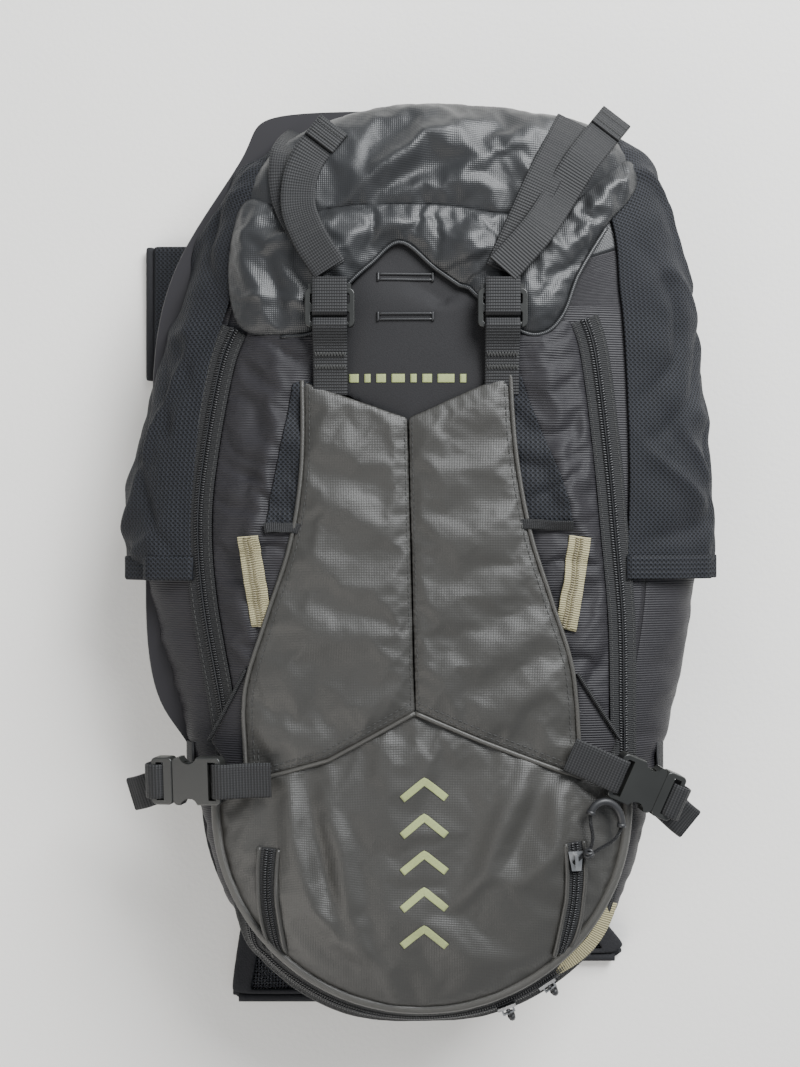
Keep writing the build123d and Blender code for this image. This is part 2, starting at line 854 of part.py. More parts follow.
for side in (-1, 1):
    name = side_name(side)
    at = Plane(origin=(side * ladder_x, ladder_y, ladder_z))
    profile = upright((side * ladder_x, ladder_y), (side * ladder_x, base_y))
    with BuildPart() as ladder_lock:
        with BuildSketch(at):
            RectangleRounded(ladder_width, ladder_length, 3.5)
            with Locations((0, -ladder_length / 4 + 0.4), (0, ladder_length / 4 - 0.4)):
                RectangleRounded(slot_room, 5.6, 0.8, mode=Mode.SUBTRACT)
            with Locations((0, -ladder_length / 2 + 1.0)):
                Rectangle(slot_room - 0.6, 8, mode=Mode.SUBTRACT)
        extrude(amount=ladder_thickness)
        fillet(ladder_lock.faces().sort_by(Axis.Z)[-1].edges(), 0.6)
        with BuildSketch(Plane.YZ.offset(side * ladder_x - ladder_width / 2 + 1)):
            with Locations((ladder_y - bar_offset, bar_y)):
                Circle(bar_radius)
        extrude(amount=ladder_width - 2)
        with BuildSketch(Plane.YZ.offset(side * ladder_x - ladder_width / 2 + 2)):
            with BuildLine():
                Polyline(
                    (lip_y - 3, ladder_z + 0.5),
                    (lip_y + 2.4, ladder_z + 1.6),
                    (lip_y + 2.4, ladder_z + 3.0),
                    (lip_y - 3, ladder_z + ladder_thickness - 0.8),
                    close=True,
                )
            make_face()
        extrude(amount=ladder_width - 4)
    keep(ladder_lock, f"ladder_lock_{name}")
    # The webbing passes under the lock, round its middle bar and back over it.
    thread_end = ladder_length / 2 + 3.0
    thread_in = -3.6
    with BuildPart() as ladder_thread:
        with BuildSketch(profile):
            with BuildLine():
                FilletPolyline(
                    (thread_end, ladder_z - gap - webbing / 2),
                    (thread_in, ladder_z - gap - webbing / 2),
                    (thread_in, ladder_z + ladder_thickness + gap + webbing / 2),
                    (thread_end, ladder_z + ladder_thickness + gap + webbing / 2),
                    radius=1.2,
                )
            trace(line_width=webbing)
        extrude(amount=webbing_width / 2, both=True)
    keep(ladder_thread, f"ladder_thread_{name}")
    # Webbing from the base seam to the lock, and the free tail above it.
    with BuildPart() as upper_strap:
        for end, level in (
            (strap_ends[side], ladder_z - gap - webbing / 2),
            (tail_ends[side], ladder_z + ladder_thickness + gap + webbing / 2),
        ):
            start = (side * ladder_x, ladder_y + thread_end + strap_start)
            reach = hypot(end[0] - start[0], end[1] - start[1])
            with BuildSketch(upright(start, end)):
                with Locations((reach / 2, level)):
                    Rectangle(reach, webbing)
            extrude(amount=webbing_width / 2, both=True)
    keep(upper_strap, f"upper_strap_{name}")

# Side release buckles at the harness arms: the socket hangs on the harness, the tongue on the bag.
buckle_width = webbing_width + 7.0
socket_body = 21.0
socket_tail = 8.0
buckle_height = 8.0
cavity_half = buckle_width / 2 - 2.7
cavity_height = 5.0
arm_clear = 0.4
arm_width = 3.2
arm_length = 17.0
tongue_base = 13.0
slot_depth = 4.6
mouth = {-1: (-137.0, -125.0), 1: (137.0, -131.0)}
buckle_turn = {-1: 182.0, 1: -24.0}
droop = 15.0
mouth_level = front_z + 2.9


def buckle_plane(side):
    """The buckle's own plane, at the socket's mouth: x runs outward from the harness to the bag."""
    turn = radians(buckle_turn[side])
    level_way = Vector(cos(turn), sin(turn), 0)
    way = level_way * cos(radians(droop)) + Vector(0, 0, -sin(radians(droop)))
    normal = level_way * sin(radians(droop)) + Vector(0, 0, cos(radians(droop)))
    return Plane(origin=(*mouth[side], mouth_level), x_dir=way, z_dir=normal)


half_height = buckle_height / 2
arm_height = cavity_height - 2 * arm_clear
round_bar = half_height + gap + webbing / 2
for side in (-1, 1):
    name = side_name(side)
    at = buckle_plane(side)
    edge_on = Plane(origin=at.origin, x_dir=at.x_dir, z_dir=-at.y_dir)
    with BuildPart() as buckle_socket:
        with BuildSketch(at.offset(-half_height)):
            with Locations((-(socket_body + socket_tail) / 2, 0)):
                RectangleRounded(socket_body + socket_tail, buckle_width, 3)
            with Locations((-socket_body - socket_tail + 3 + slot_depth / 2, 0)):
                Rectangle(slot_depth, slot_room, mode=Mode.SUBTRACT)
            with Locations((-9.5, buckle_width / 2 + 1.6), (-9.5, -buckle_width / 2 - 1.6)):
                Circle(5.4, mode=Mode.SUBTRACT)
        extrude(amount=buckle_height)
        fillet(buckle_socket.faces().sort_by(Axis.Z)[-1].outer_wire().edges(), 0.8)
        with BuildSketch(at.offset(-cavity_height / 2)):
            with Locations((-socket_body / 2 + 1, 0)):
                Rectangle(socket_body - 2, 2 * cavity_half)
        extrude(amount=cavity_height, mode=Mode.SUBTRACT)
    keep(buckle_socket, f"buckle_socket_{name}")
    with BuildPart() as buckle_tongue:
        with BuildSketch(at.offset(-half_height)):
            with Locations((gap + tongue_base / 2, 0)):
                RectangleRounded(tongue_base, buckle_width, 3)
            with Locations((gap + tongue_base - 3 - slot_depth / 2, 0)):
                Rectangle(slot_depth, slot_room, mode=Mode.SUBTRACT)
        extrude(amount=buckle_height)
        fillet(buckle_tongue.faces().sort_by(Axis.Z)[-1].outer_wire().edges(), 0.8)
        with BuildSketch(at.offset(-arm_height / 2)):
            for edge in (-1, 1):
                outer = edge * (cavity_half - arm_clear)
                inner = edge * (cavity_half - arm_clear - arm_width)
                with BuildLine():
                    Polyline(
                        (gap + 1, outer * 0.94),
                        (-arm_length + 6, outer),
                        (-arm_length, outer * 0.8),
                        (-arm_length, inner * 0.85),
                        (-arm_length + 6, inner),
                        (gap + 1, inner),
                        close=True,
                    )
                make_face()
            with Locations((-arm_length / 2 + gap + 2, 0)):
                Rectangle(arm_length, 3)
        extrude(amount=arm_height)
    keep(buckle_tongue, f"buckle_tongue_{name}")
    # Loop of webbing round the tongue's end bar, and its free tail.
    end_x = gap + tongue_base - 1.5
    with BuildPart() as tongue_strap:
        with BuildSketch(edge_on):
            with BuildLine():
                FilletPolyline(
                    (end_x - 3.6, half_height - 1.8),
                    (end_x - 3.6, round_bar),
                    (end_x + 4.2, round_bar),
                    (end_x + 6.2, -round_bar - 8),
                    (end_x - 2.0, -round_bar - 13),
                    radius=2.0,
                )
            trace(line_width=webbing)
        extrude(amount=webbing_width / 2, both=True)
    keep(tongue_strap, f"tongue_strap_{name}")

# Webbing from the harness arms to the sockets, and from the back seam up the bag's sides.
side_strap_top = {-1: (-147.0, -116.0), 1: (149.0, -122.0)}
bar_x = -socket_body - socket_tail + 1.5
with BuildPart() as side_webbing:
    for side in (-1, 1):
        at = buckle_plane(side)
        with BuildSketch(Plane(origin=at.origin, x_dir=at.x_dir, z_dir=-at.y_dir)):
            with BuildLine():
                FilletPolyline(
                    (bar_x + 3.6, round_bar - 3.4),
                    (bar_x + 3.6, round_bar),
                    (bar_x - 2.4, round_bar),
                    (bar_x - 17, -2.2),
                    radius=1.6,
                )
            trace(line_width=webbing)
        extrude(amount=webbing_width / 2, both=True)
        x, y = side_strap_top[side]
        with BuildSketch(upright((0, y), (x, y))):
            with BuildLine():
                Polyline((abs(x) - 3, bag_z + 2), (abs(x) + 4, widest_z + 8), (abs(x), widest_z + 22))
            trace(line_width=webbing)
        extrude(amount=webbing_width / 2, both=True)
keep(side_webbing, "side_webbing")

# ---- Outer mesh pockets: a skin that stands off the bag's side, open towards the pack's top ----
pocket_stand = 7.0
mesh_skin = 1.4
outer_mesh_y = 5.0
outer_mesh_end = base_y - 42.0
outer_mesh_high = zip_band_z - 1.0
mesh_outside = bag_solid(bag_z, front_z, pocket_stand + mesh_skin)
mesh_inside = bag_solid(bag_z, front_z, pocket_stand)
mesh_against = bag_solid(bag_z, front_z, gap)
for side in (-1, 1):
    with BuildPart() as outer_mesh:
        add(mesh_outside)
        add(mesh_inside, mode=Mode.SUBTRACT)
        with BuildSketch(Plane.XY.offset(bag_z + 1)):
            with Locations((side * half_width, (outer_mesh_y + outer_mesh_end) / 2)):
                Rectangle(half_width, outer_mesh_end - outer_mesh_y)
        extrude(amount=outer_mesh_high - bag_z - 1, mode=Mode.INTERSECT)
        with BuildPart(mode=Mode.PRIVATE) as rims:
            add(mesh_outside)
            add(mesh_against, mode=Mode.SUBTRACT)
            with BuildSketch(Plane.XY.offset(bag_z + 1)):
                with Locations((side * half_width, (outer_mesh_y + outer_mesh_end) / 2)):
                    Rectangle(half_width, outer_mesh_end - outer_mesh_y)
            extrude(amount=outer_mesh_high - bag_z - 1, mode=Mode.INTERSECT)
            with BuildSketch(Plane.XY.offset(bag_z + 1 + mesh_skin)):
                with Locations((side * half_width, (outer_mesh_y + outer_mesh_end - mesh_skin) / 2 - 5)):
                    Rectangle(2 * half_width, outer_mesh_end - outer_mesh_y - mesh_skin + 10)
            extrude(amount=outer_mesh_high - bag_z - 1 - 2 * mesh_skin, mode=Mode.SUBTRACT)
        add(rims.part)
    keep(outer_mesh, f"outer_mesh_{side_name(side)}")

# ---- Under the pack: shoulder straps and hip belt wings, folded beneath it ----
strap_pad = 5.0
yoke_low = strap_pad + fold_clear
yoke_thickness = under_height - yoke_low - gap
yoke_start_y = -226.0
shoulder_fold_y = {-1: -284.0, 1: -258.0}
shoulder_shift = {-1: 0.0, 1: 16.0}  # how far each strap's fold lies outward
fold_inner = 58.0
fold_outer = 116.0


def fold_span(side):
    """The strap's width at its fold."""
    return side * (fold_inner + shoulder_shift[side]), side * (fold_outer + shoulder_shift[side])


with BuildPart() as shoulder_yokes:
    for side in (-1, 1):
        low_x, high_x = fold_span(side)
        near_y = shoulder_fold_y[side] + 2 * crease_radius + gap
        with BuildSketch(Plane.XY.offset(yoke_low)):
            with BuildLine():
                Polyline(
                    (low_x, near_y),
                    (high_x, near_y),
                    (side * 92, yoke_start_y),
                    (side * 40, yoke_start_y),
                    close=True,
                )
            make_face()
        extrude(amount=yoke_thickness)
keep(shoulder_yokes, "shoulder_yokes")

for side in (-1, 1):
    name = side_name(side)
    low_x, high_x = fold_span(side)
    crease_y = shoulder_fold_y[side] + crease_radius
    with BuildPart() as shoulder_strap:
        with BuildSketch():
            with BuildLine():
                inner_edge = Spline(
                    (low_x, crease_y),
                    (side * 40, -205),
                    (side * 23, -130),
                    (side * 24, 20),
                    (side * 40, 58),
                    tangents=[(0, 1), (side, 0.2)],
                )
                outer_edge = Spline(
                    inner_edge @ 1,
                    (side * 58, 20),
                    (side * 74, -110),
                    (side * 100, -205),
                    (high_x, crease_y),
                    tangents=[(side, -0.3), (0, -1)],
                )
                Line(outer_edge @ 1, inner_edge @ 0)
            make_face()
        extrude(amount=strap_pad)
        with BuildSketch(Plane.YZ.offset(low_x)):
            with Locations((crease_y, yoke_low)):
                Circle(crease_radius)
        extrude(amount=high_x - low_x)
    keep(shoulder_strap, f"shoulder_strap_{name}")

wing_tip = 66.0
for side in (-1, 1):
    name = side_name(side)
    crease_x = side * (wing_fold[side] - crease_radius)
    half_length = wing_length / 2
    with BuildPart() as belt_wing:
        with BuildSketch():
            with BuildLine():
                Polyline(
                    (crease_x, wing_y - half_length),
                    (crease_x, wing_y + half_length),
                    (side * (wing_tip + 16), wing_y + half_length - 14),
                    (side * wing_tip, wing_y + 12),
                    (side * wing_tip, wing_y - 12),
                    (side * (wing_tip + 16), wing_y - half_length + 14),
                    close=True,
                )
            make_face()
        extrude(amount=wing_thickness)
        with BuildSketch(Plane.XZ.offset(-wing_y - half_length)):
            with Locations((crease_x, root_low)):
                Circle(crease_radius)
        extrude(amount=wing_length)
    keep(belt_wing, f"belt_wing_{name}")

# ---- Trim ----
# Pale tape beside the reservoir's mouth, under the rim, and a blank label in the base seam.
trim_start = -43.0  # degrees round the top end, clear of the mouth
trim_sweep = 22.0
with BuildPart() as trim_tapes:
    with BuildSketch(Plane.XY.offset(bag_z + 8)):
        with BuildLine():
            CenterArc((0, arch_y), arch_radius + 2.6, trim_start, trim_sweep)
        trace(line_width=1.6)
    extrude(amount=20)
    with BuildSketch(Plane.XY.offset(foam_z + foam_thickness + gap)):
        with Locations((10, foam_base_y - 2)):
            Rectangle(17, 11)
    extrude(amount=fabric)
keep(trim_tapes, "trim_tapes")
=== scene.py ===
import json
import math
import random

import bmesh
import bpy
from mathutils import Matrix, Vector, geometry, noise
from mathutils.bvhtree import BVHTree


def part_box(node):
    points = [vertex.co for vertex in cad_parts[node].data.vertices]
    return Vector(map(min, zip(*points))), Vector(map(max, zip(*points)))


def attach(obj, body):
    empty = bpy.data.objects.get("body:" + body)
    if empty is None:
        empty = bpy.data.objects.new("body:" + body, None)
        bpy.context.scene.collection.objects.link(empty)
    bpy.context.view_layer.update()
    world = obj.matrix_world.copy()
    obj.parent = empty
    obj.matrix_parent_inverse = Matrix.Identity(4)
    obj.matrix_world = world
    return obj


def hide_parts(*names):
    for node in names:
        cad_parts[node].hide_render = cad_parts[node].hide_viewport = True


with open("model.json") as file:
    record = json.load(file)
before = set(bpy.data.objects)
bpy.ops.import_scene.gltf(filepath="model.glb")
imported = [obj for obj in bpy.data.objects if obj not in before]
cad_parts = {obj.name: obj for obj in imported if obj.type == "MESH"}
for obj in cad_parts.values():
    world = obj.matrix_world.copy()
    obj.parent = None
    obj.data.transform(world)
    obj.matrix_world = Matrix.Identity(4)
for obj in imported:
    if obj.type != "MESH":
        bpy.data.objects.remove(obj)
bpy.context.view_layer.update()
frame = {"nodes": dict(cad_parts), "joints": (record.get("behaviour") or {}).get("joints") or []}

bl_info = {
    "name": "Hydration Pack",
    "version": (1, 0, 0),
    "blender": (4, 5, 0),
    "location": "View3D > Sidebar > Pack",
    "description": "Makes a hydration pack that lies on its back, round its packed frame",
    "category": "Object",
}

MM = 0.001
TURN = 2 * math.pi


# ---------------------------------------------------------------------------------------------
# Settings
# ---------------------------------------------------------------------------------------------
class PackFormSettings(bpy.types.PropertyGroup):
    """How the stuffed bag stands."""

    crown: bpy.props.FloatProperty(
        name="Crown", description="Height of the front over the floor", default=0.104,
        unit="LENGTH")
    belly: bpy.props.FloatProperty(
        name="Belly", description="Height at which the sides stand out furthest", default=0.050,
        unit="LENGTH")
    seam: bpy.props.FloatProperty(
        name="Back seam", description="Height of the seam round the back panel", default=0.0205,
        unit="LENGTH")
    cloth: bpy.props.FloatProperty(
        name="Cloth", description="Thickness of a coated panel", default=0.0009, unit="LENGTH")


class PackFinishSettings(bpy.types.PropertyGroup):
    """Colours that a user would change."""

    coated: bpy.props.FloatVectorProperty(
        name="Coated cloth", description="Harness and front pocket", subtype="COLOR", size=3,
        default=(0.036, 0.0345, 0.031))
    ripstop: bpy.props.FloatVectorProperty(
        name="Flap cloth", description="Base flap and base", subtype="COLOR", size=3,
        default=(0.018, 0.0185, 0.0195))
    nylon: bpy.props.FloatVectorProperty(
        name="Ribbed nylon", description="Gussets and sides", subtype="COLOR", size=3,
        default=(0.0125, 0.0115, 0.0135))
    mesh: bpy.props.FloatVectorProperty(
        name="Mesh", description="Stretch mesh pockets", subtype="COLOR", size=3,
        default=(0.0075, 0.0082, 0.0105))
    webbing: bpy.props.FloatVectorProperty(
        name="Webbing", description="Straps and bindings", subtype="COLOR", size=3,
        default=(0.013, 0.013, 0.0135))
    accent: bpy.props.FloatVectorProperty(
        name="Accent", description="Zip tapes and trim", subtype="COLOR", size=3,
        default=(0.25, 0.225, 0.13))
    print_colour: bpy.props.FloatVectorProperty(
        name="Print", description="Printed marks", subtype="COLOR", size=3,
        default=(0.33, 0.37, 0.165))


# ---------------------------------------------------------------------------------------------
# Shader maths
# ---------------------------------------------------------------------------------------------
class Wire:
    """A number that runs through a material's nodes, so that shader maths reads as a sum."""

    def __init__(self, tree, socket):
        self.tree = tree
        self.socket = socket

    def maths(self, operation, *values):
        node = self.tree.nodes.new("ShaderNodeMath")
        node.operation = operation
        for slot, value in zip(node.inputs, values):
            if isinstance(value, Wire):
                self.tree.links.new(value.socket, slot)
            else:
                slot.default_value = value
        return Wire(self.tree, node.outputs[0])

    def __add__(self, other):
        return self.maths("ADD", self, other)

    def __radd__(self, other):
        return self.maths("ADD", other, self)

    def __sub__(self, other):
        return self.maths("SUBTRACT", self, other)

    def __rsub__(self, other):
        return self.maths("SUBTRACT", other, self)

    def __mul__(self, other):
        return self.maths("MULTIPLY", self, other)

    def __rmul__(self, other):
        return self.maths("MULTIPLY", other, self)

    def __gt__(self, other):
        return self.maths("GREATER_THAN", self, other)

    def sine(self):
        return self.maths("SINE", self)

    def wrap(self):
        return self.maths("FRACT", self)

    def size(self):
        return self.maths("ABSOLUTE", self)

    def power(self, exponent):
        return self.maths("POWER", self, exponent)

    def clamp(self):
        return self.maths("MINIMUM", self.maths("MAXIMUM", self, 0.0), 1.0)


class Finish:
    """A material under construction."""

    def __init__(self, name, **shader):
        self.material = bpy.data.materials.new(name)
        self.material.use_nodes = True
        self.tree = self.material.node_tree
        self.shader = self.tree.nodes["Principled BSDF"]
        for key, value in shader.items():
            self.shader.inputs[key.replace("_", " ").title().replace(
                "Ior", "IOR")].default_value = value

    def node(self, kind, settings=None, values=None):
        """Adds a node: its settings first, then the values or links of its sockets."""
        node = self.tree.nodes.new(kind)
        for key, value in (settings or {}).items():
            setattr(node, key, value)
        for key, value in (values or {}).items():
            if isinstance(value, Wire):
                self.tree.links.new(value.socket, node.inputs[key])
            elif isinstance(value, bpy.types.NodeSocket):
                self.tree.links.new(value, node.inputs[key])
            else:
                node.inputs[key].default_value = value
        return node

    def out(self, node, name):
        return Wire(self.tree, node.outputs[name])

    def place(self, source="UV"):
        """The surface's own coordinates, in metres, as two or three numbers."""
        where = self.node("ShaderNodeTexCoord")
        split = self.node("ShaderNodeSeparateXYZ", values={0: where.outputs[source]})
        return [self.out(split, axis) for axis in "XYZ"]

    def cloud(self, scale, detail=3.0, source="Object", stretch=None):
        """Soft random variation from 0 to 1."""
        where = self.node("ShaderNodeTexCoord").outputs[source]
        if stretch:
            mapping = self.node("ShaderNodeMapping", values={"Vector": where, "Scale": stretch})
            where = mapping.outputs[0]
        cloud = self.node("ShaderNodeTexNoise", values={"Vector": where, "Scale": scale,
                                                        "Detail": detail})
        return self.out(cloud, "Fac")

    def blend(self, amount, first, second):
        """A colour between two colours."""
        mix = self.node("ShaderNodeMix", {"data_type": "RGBA"}, {"Factor": amount})
        for name, colour in (("A", first), ("B", second)):
            slot = [s for s in mix.inputs if s.name == name and s.type == "RGBA"][0]
            if isinstance(colour, bpy.types.NodeSocket):
                self.tree.links.new(colour, slot)
            else:
                slot.default_value = (*colour, 1.0)
        return [s for s in mix.outputs if s.type == "RGBA"][0]

    def relief(self, height, distance, strength=1.0):
        """A bump that stands up by distance where height is 1."""
        bump = self.node("ShaderNodeBump", values={"Height": height, "Distance": distance,
                                                   "Strength": strength})
        self.tree.links.new(bump.outputs[0], self.shader.inputs["Normal"])

    def feed(self, name, value):
        self.tree.links.new(value.socket if isinstance(value, Wire) else value,
                            self.shader.inputs[name])


def shade(colour, factor):
    return tuple(min(1.0, part * factor) for part in colour)


def coated_finish(name, colour, roughness, weave, wear):
    """Coated cloth: a fine crossed weave under a film, with scuffs and cloudy gloss."""
    finish = Finish(name, roughness=roughness, specular_ior_level=0.5)
    u, v, _ = finish.place()
    threads = (u * (TURN / weave)).sine() * 0.5 + (v * (TURN / weave)).sine() * 0.5
    cloud = finish.cloud(9.0, 4.0)
    scuff = finish.cloud(60.0, 6.0, stretch=(1.0, 0.35, 1.0))
    scuffs = (finish.cloud(3.0) * scuff > 1.0 - wear) * 0.35
    finish.feed("Base Color", finish.blend(
        (cloud * 0.7 + scuffs + threads * 0.12).clamp(), shade(colour, 0.78), shade(colour, 1.3)))
    finish.feed("Roughness", (roughness - 0.10) + cloud * 0.16 + scuff * 0.06)
    finish.relief(threads * 0.7 + finish.cloud(260.0, 2.0), 0.00008)
    return finish.material


def nylon_finish(name, colour, pitch):
    """Ribbed nylon: fine lines across the cloth, with a soft silky gloss."""
    finish = Finish(name, roughness=0.55, specular_ior_level=0.35)
    u, v, _ = finish.place()
    ribs = (v * (TURN / pitch)).sine() * 0.5 + 0.5
    broken = finish.cloud(900.0, 1.0, source="UV", stretch=(0.25, 1.0, 1.0))
    cloud = finish.cloud(14.0, 3.0)
    finish.feed("Base Color", finish.blend(
        (ribs * 0.45 + broken * 0.3 + cloud * 0.3).clamp(), shade(colour, 0.62),
        shade(colour, 1.75)))
    finish.feed("Roughness", 0.48 + cloud * 0.2)
    finish.relief(ribs + broken * 0.5, 0.00022)
    return finish.material


def mesh_finish(name, colour, pitch, hole, open_holes):
    """Knitted mesh: rows of round holes, each row shifted by half a hole. The holes are painted at
    a tenth of the colour: painted shade for the dark seen through them where they are not cut open.
    """
    finish = Finish(name, roughness=0.72, specular_ior_level=0.3)
    u, v, _ = finish.place()
    row = v * (2 / pitch)
    shift = (row * 0.5).wrap().maths("GREATER_THAN", (row * 0.5).wrap(), 0.5) * 0.5
    across = ((u * (1 / pitch) + shift).wrap() - 0.5) * 2.0
    along = (row.wrap() - 0.5) * 1.15
    distance = (across * across + along * along).power(0.5)
    cloth = ((distance - hole) * 4.0).clamp()
    chain = (u * (TURN / pitch)).sine() * 0.5 + 0.5
    cloud = finish.cloud(30.0, 3.0)
    # Painted shade: the holes are painted nearly black, as the dark seen through them.
    finish.feed("Base Color", finish.blend(
        (cloth * (0.45 + cloud * 0.3 + chain * 0.3)).clamp(), shade(colour, 0.1),
        shade(colour, 2.4)))
    finish.relief(cloth * 0.8 + chain * 0.3, 0.0006)
    if open_holes:
        finish.feed("Alpha", cloth > 0.25)
    return finish.material


def plain_cloth_finish(name, colour, roughness, grain, depth, tint=1.5):
    """A matte cloth with an even, slightly heathered grain."""
    finish = Finish(name, roughness=roughness, specular_ior_level=0.25)
    fibre = finish.cloud(grain, 2.0)
    cloud = finish.cloud(18.0, 3.0)
    finish.feed("Base Color", finish.blend(
        (fibre * 0.7 + cloud * 0.3).clamp(), shade(colour, 0.6), shade(colour, tint)))
    finish.relief(fibre, depth)
    return finish.material


def webbing_finish(name, colour, pitch=0.0017, columns=0.0014):
    """Woven strap: ribs across it, and fine columns along it. The ribs are painted light on their
    crests and dark in their grooves: the weave's own pattern, with painted highlight and painted
    shade on the ribs.
    """
    finish = Finish(name, roughness=0.62, specular_ior_level=0.35)
    u, v, _ = finish.place()
    ribs = (v * (TURN / pitch)).sine() * 0.5 + 0.5
    warp = (u * (TURN / columns)).sine() * 0.5 + 0.5
    cloud = finish.cloud(25.0, 3.0)
    # Painted highlight and painted shade: the rib crests go up to twice the strap's colour and the
    # grooves down to a quarter.
    finish.feed("Base Color", finish.blend(
        (ribs * 0.65 + warp * 0.15 + cloud * 0.2).clamp(), shade(colour, 0.25),
        shade(colour, 2.1)))
    finish.relief(ribs * 0.8 + warp * 0.3, 0.0003)
    return finish.material


def plastic_finish(name, colour, roughness, grain=600.0, depth=0.00003):
    """Moulded plastic with a fine spark-eroded grain and a cloudy tone."""
    finish = Finish(name, roughness=roughness, specular_ior_level=0.5)
    cloud = finish.cloud(40.0, 4.0)
    finish.feed("Base Color", finish.blend(cloud.clamp(), shade(colour, 0.75), shade(colour, 1.3)))
    finish.feed("Roughness", roughness - 0.08 + cloud * 0.18)
    finish.relief(finish.cloud(grain, 2.0), depth)
    return finish.material


def metal_finish(name, colour, roughness):
    finish = Finish(name, roughness=roughness, metallic=1.0)
    cloud = finish.cloud(180.0, 4.0)
    finish.feed("Base Color", finish.blend(cloud, shade(colour, 0.6), shade(colour, 1.2)))
    finish.feed("Roughness", roughness - 0.05 + cloud * 0.25)
    finish.relief(cloud, 0.00004)
    return finish.material


def film_finish(name, colour):
    """Clear blue reservoir film."""
    finish = Finish(name, roughness=0.18, transmission_weight=0.55, ior=1.45)
    cloud = finish.cloud(20.0, 3.0)
    finish.feed("Base Color", finish.blend(cloud, shade(colour, 0.85), shade(colour, 1.1)))
    finish.relief(finish.cloud(90.0, 3.0), 0.0004)
    return finish.material


FINISH = {}


def make_finishes(colours):
    FINISH.update(
        harness_cloth=coated_finish("harness_cloth", colours.coated, 0.42, 0.0009, 0.42),
        coated_ripstop=coated_finish("coated_ripstop", colours.ripstop, 0.40, 0.0011, 0.3),
        ribbed_nylon=nylon_finish("ribbed_nylon", colours.nylon, 0.0014),
        open_mesh=mesh_finish("open_mesh", colours.mesh, 0.0027, 0.34, False),
        spacer_mesh=mesh_finish("spacer_mesh", colours.mesh, 0.0029, 0.46, True),
        stretch_cloth=plain_cloth_finish("stretch_cloth", (0.0165, 0.016, 0.017), 0.75, 1500.0,
                                         0.00012),
        foam_cloth=plain_cloth_finish("foam_cloth", (0.02, 0.02, 0.022), 0.85, 900.0, 0.0003),
        webbing=webbing_finish("webbing", colours.webbing),
        binding=webbing_finish("binding", shade(colours.webbing, 0.8), 0.0011, 0.0008),
        trim_tape=webbing_finish("trim_tape", colours.accent, 0.0013, 0.0009),
        thread=plain_cloth_finish("thread", (0.05, 0.05, 0.048), 0.6, 3000.0, 0.00005),
        pale_thread=plain_cloth_finish("pale_thread", (0.30, 0.29, 0.24), 0.6, 3000.0, 0.00005),
        piping=coated_finish("piping", shade(colours.coated, 1.5), 0.36, 0.0007, 0.2),
        zip_coil=plastic_finish("zip_coil", (0.014, 0.014, 0.015), 0.34),
        pale_coil=plastic_finish("pale_coil", (0.24, 0.21, 0.13), 0.4),
        hardware_plastic=plastic_finish("hardware_plastic", (0.018, 0.0185, 0.017), 0.33),
        slider_metal=metal_finish("slider_metal", (0.42, 0.42, 0.42), 0.32),
        cord=webbing_finish("cord", (0.016, 0.016, 0.017), 0.0009, 0.0006),
        grip_rubber=plastic_finish("grip_rubber", (0.017, 0.017, 0.018), 0.46),
        print_ink=plain_cloth_finish("print_ink", colours.print_colour, 0.55, 1200.0, 0.00005,
                                     1.15),
        reservoir_film=film_finish("reservoir_film", (0.62, 0.80, 0.90)),
        port_plastic=plastic_finish("port_plastic", (0.02, 0.16, 0.42), 0.36),
        protector_foam=plain_cloth_finish("protector_foam", (0.55, 0.20, 0.04), 0.8, 700.0,
                                          0.0003),
    )


# ---------------------------------------------------------------------------------------------
# Lines and surfaces
# ---------------------------------------------------------------------------------------------
def smooth_step(low, high, value):
    t = max(0.0, min(1.0, (value - low) / (high - low)))
    return t * t * (3 - 2 * t)


def lerp(a, b, t):
    return a + (b - a) * t


def flow(points, spacing, closed=False):
    """Evenly spaced points on a smooth curve through a few points."""
    points = [Vector(p) for p in points]
    count = len(points)
    fine = []
    spans = count if closed else count - 1
    for k in range(spans):
        if closed:
            a, b, c, d = (points[(k + j) % count] for j in (-1, 0, 1, 2))
        else:
            a, b, c, d = (points[max(0, min(count - 1, k + j))] for j in (-1, 0, 1, 2))
        for step in range(16):
            t = step / 16
            fine.append(0.5 * ((2 * b) + (c - a) * t + (2 * a - 5 * b + 4 * c - d) * t ** 2
                               + (3 * b - a - 3 * c + d) * t ** 3))
    fine.append(points[0] if closed else points[-1])
    lengths = [0.0]
    for a, b in zip(fine, fine[1:]):
        lengths.append(lengths[-1] + (b - a).length)
    total = lengths[-1]
    steps = max(2, round(total / spacing))
    out = []
    k = 0
    for step in range(steps if closed else steps + 1):
        goal = total * step / steps
        while k < len(lengths) - 2 and lengths[k + 1] < goal:
            k += 1
        share = (goal - lengths[k]) / max(1e-9, lengths[k + 1] - lengths[k])
        out.append(fine[k].lerp(fine[k + 1], share))
    return out


def straight(points, spacing):
    """Evenly spaced points along straight runs, keeping the corners."""
    out = []
    for a, b in zip(points, points[1:]):
        a, b = Vector(a), Vector(b)
        steps = max(1, round((b - a).length / spacing))
        out += [a.lerp(b, k / steps) for k in range(steps)]
    return out + [Vector(points[-1])]


def scaled(points):
    """Points given in millimetres, in metres."""
    return [tuple(c * MM for c in p) for p in points]


# The pack's outline as it lies, from the base's middle round its right side and back, in mm.
OUTLINE = scaled([
    (8, 270), (58, 267), (100, 259), (128, 240), (147, 205), (158, 165), (165, 115), (169, 55),
    (168, 0), (165, -35), (155, -85), (144, -125), (131.5, -170), (116.5, -207), (90, -240),
    (47, -263), (0, -268), (-40, -264), (-72, -248), (-98, -222), (-114, -190), (-127, -148),
    (-141, -90), (-157, -30), (-164, 15), (-160, 65), (-152, 110), (-139, 145), (-126, 180),
    (-112, 210), (-92, 235), (-60, 256), (-25, 267),
])
SPINE = (Vector((0.003, -0.135)), Vector((0.014, 0.145)))


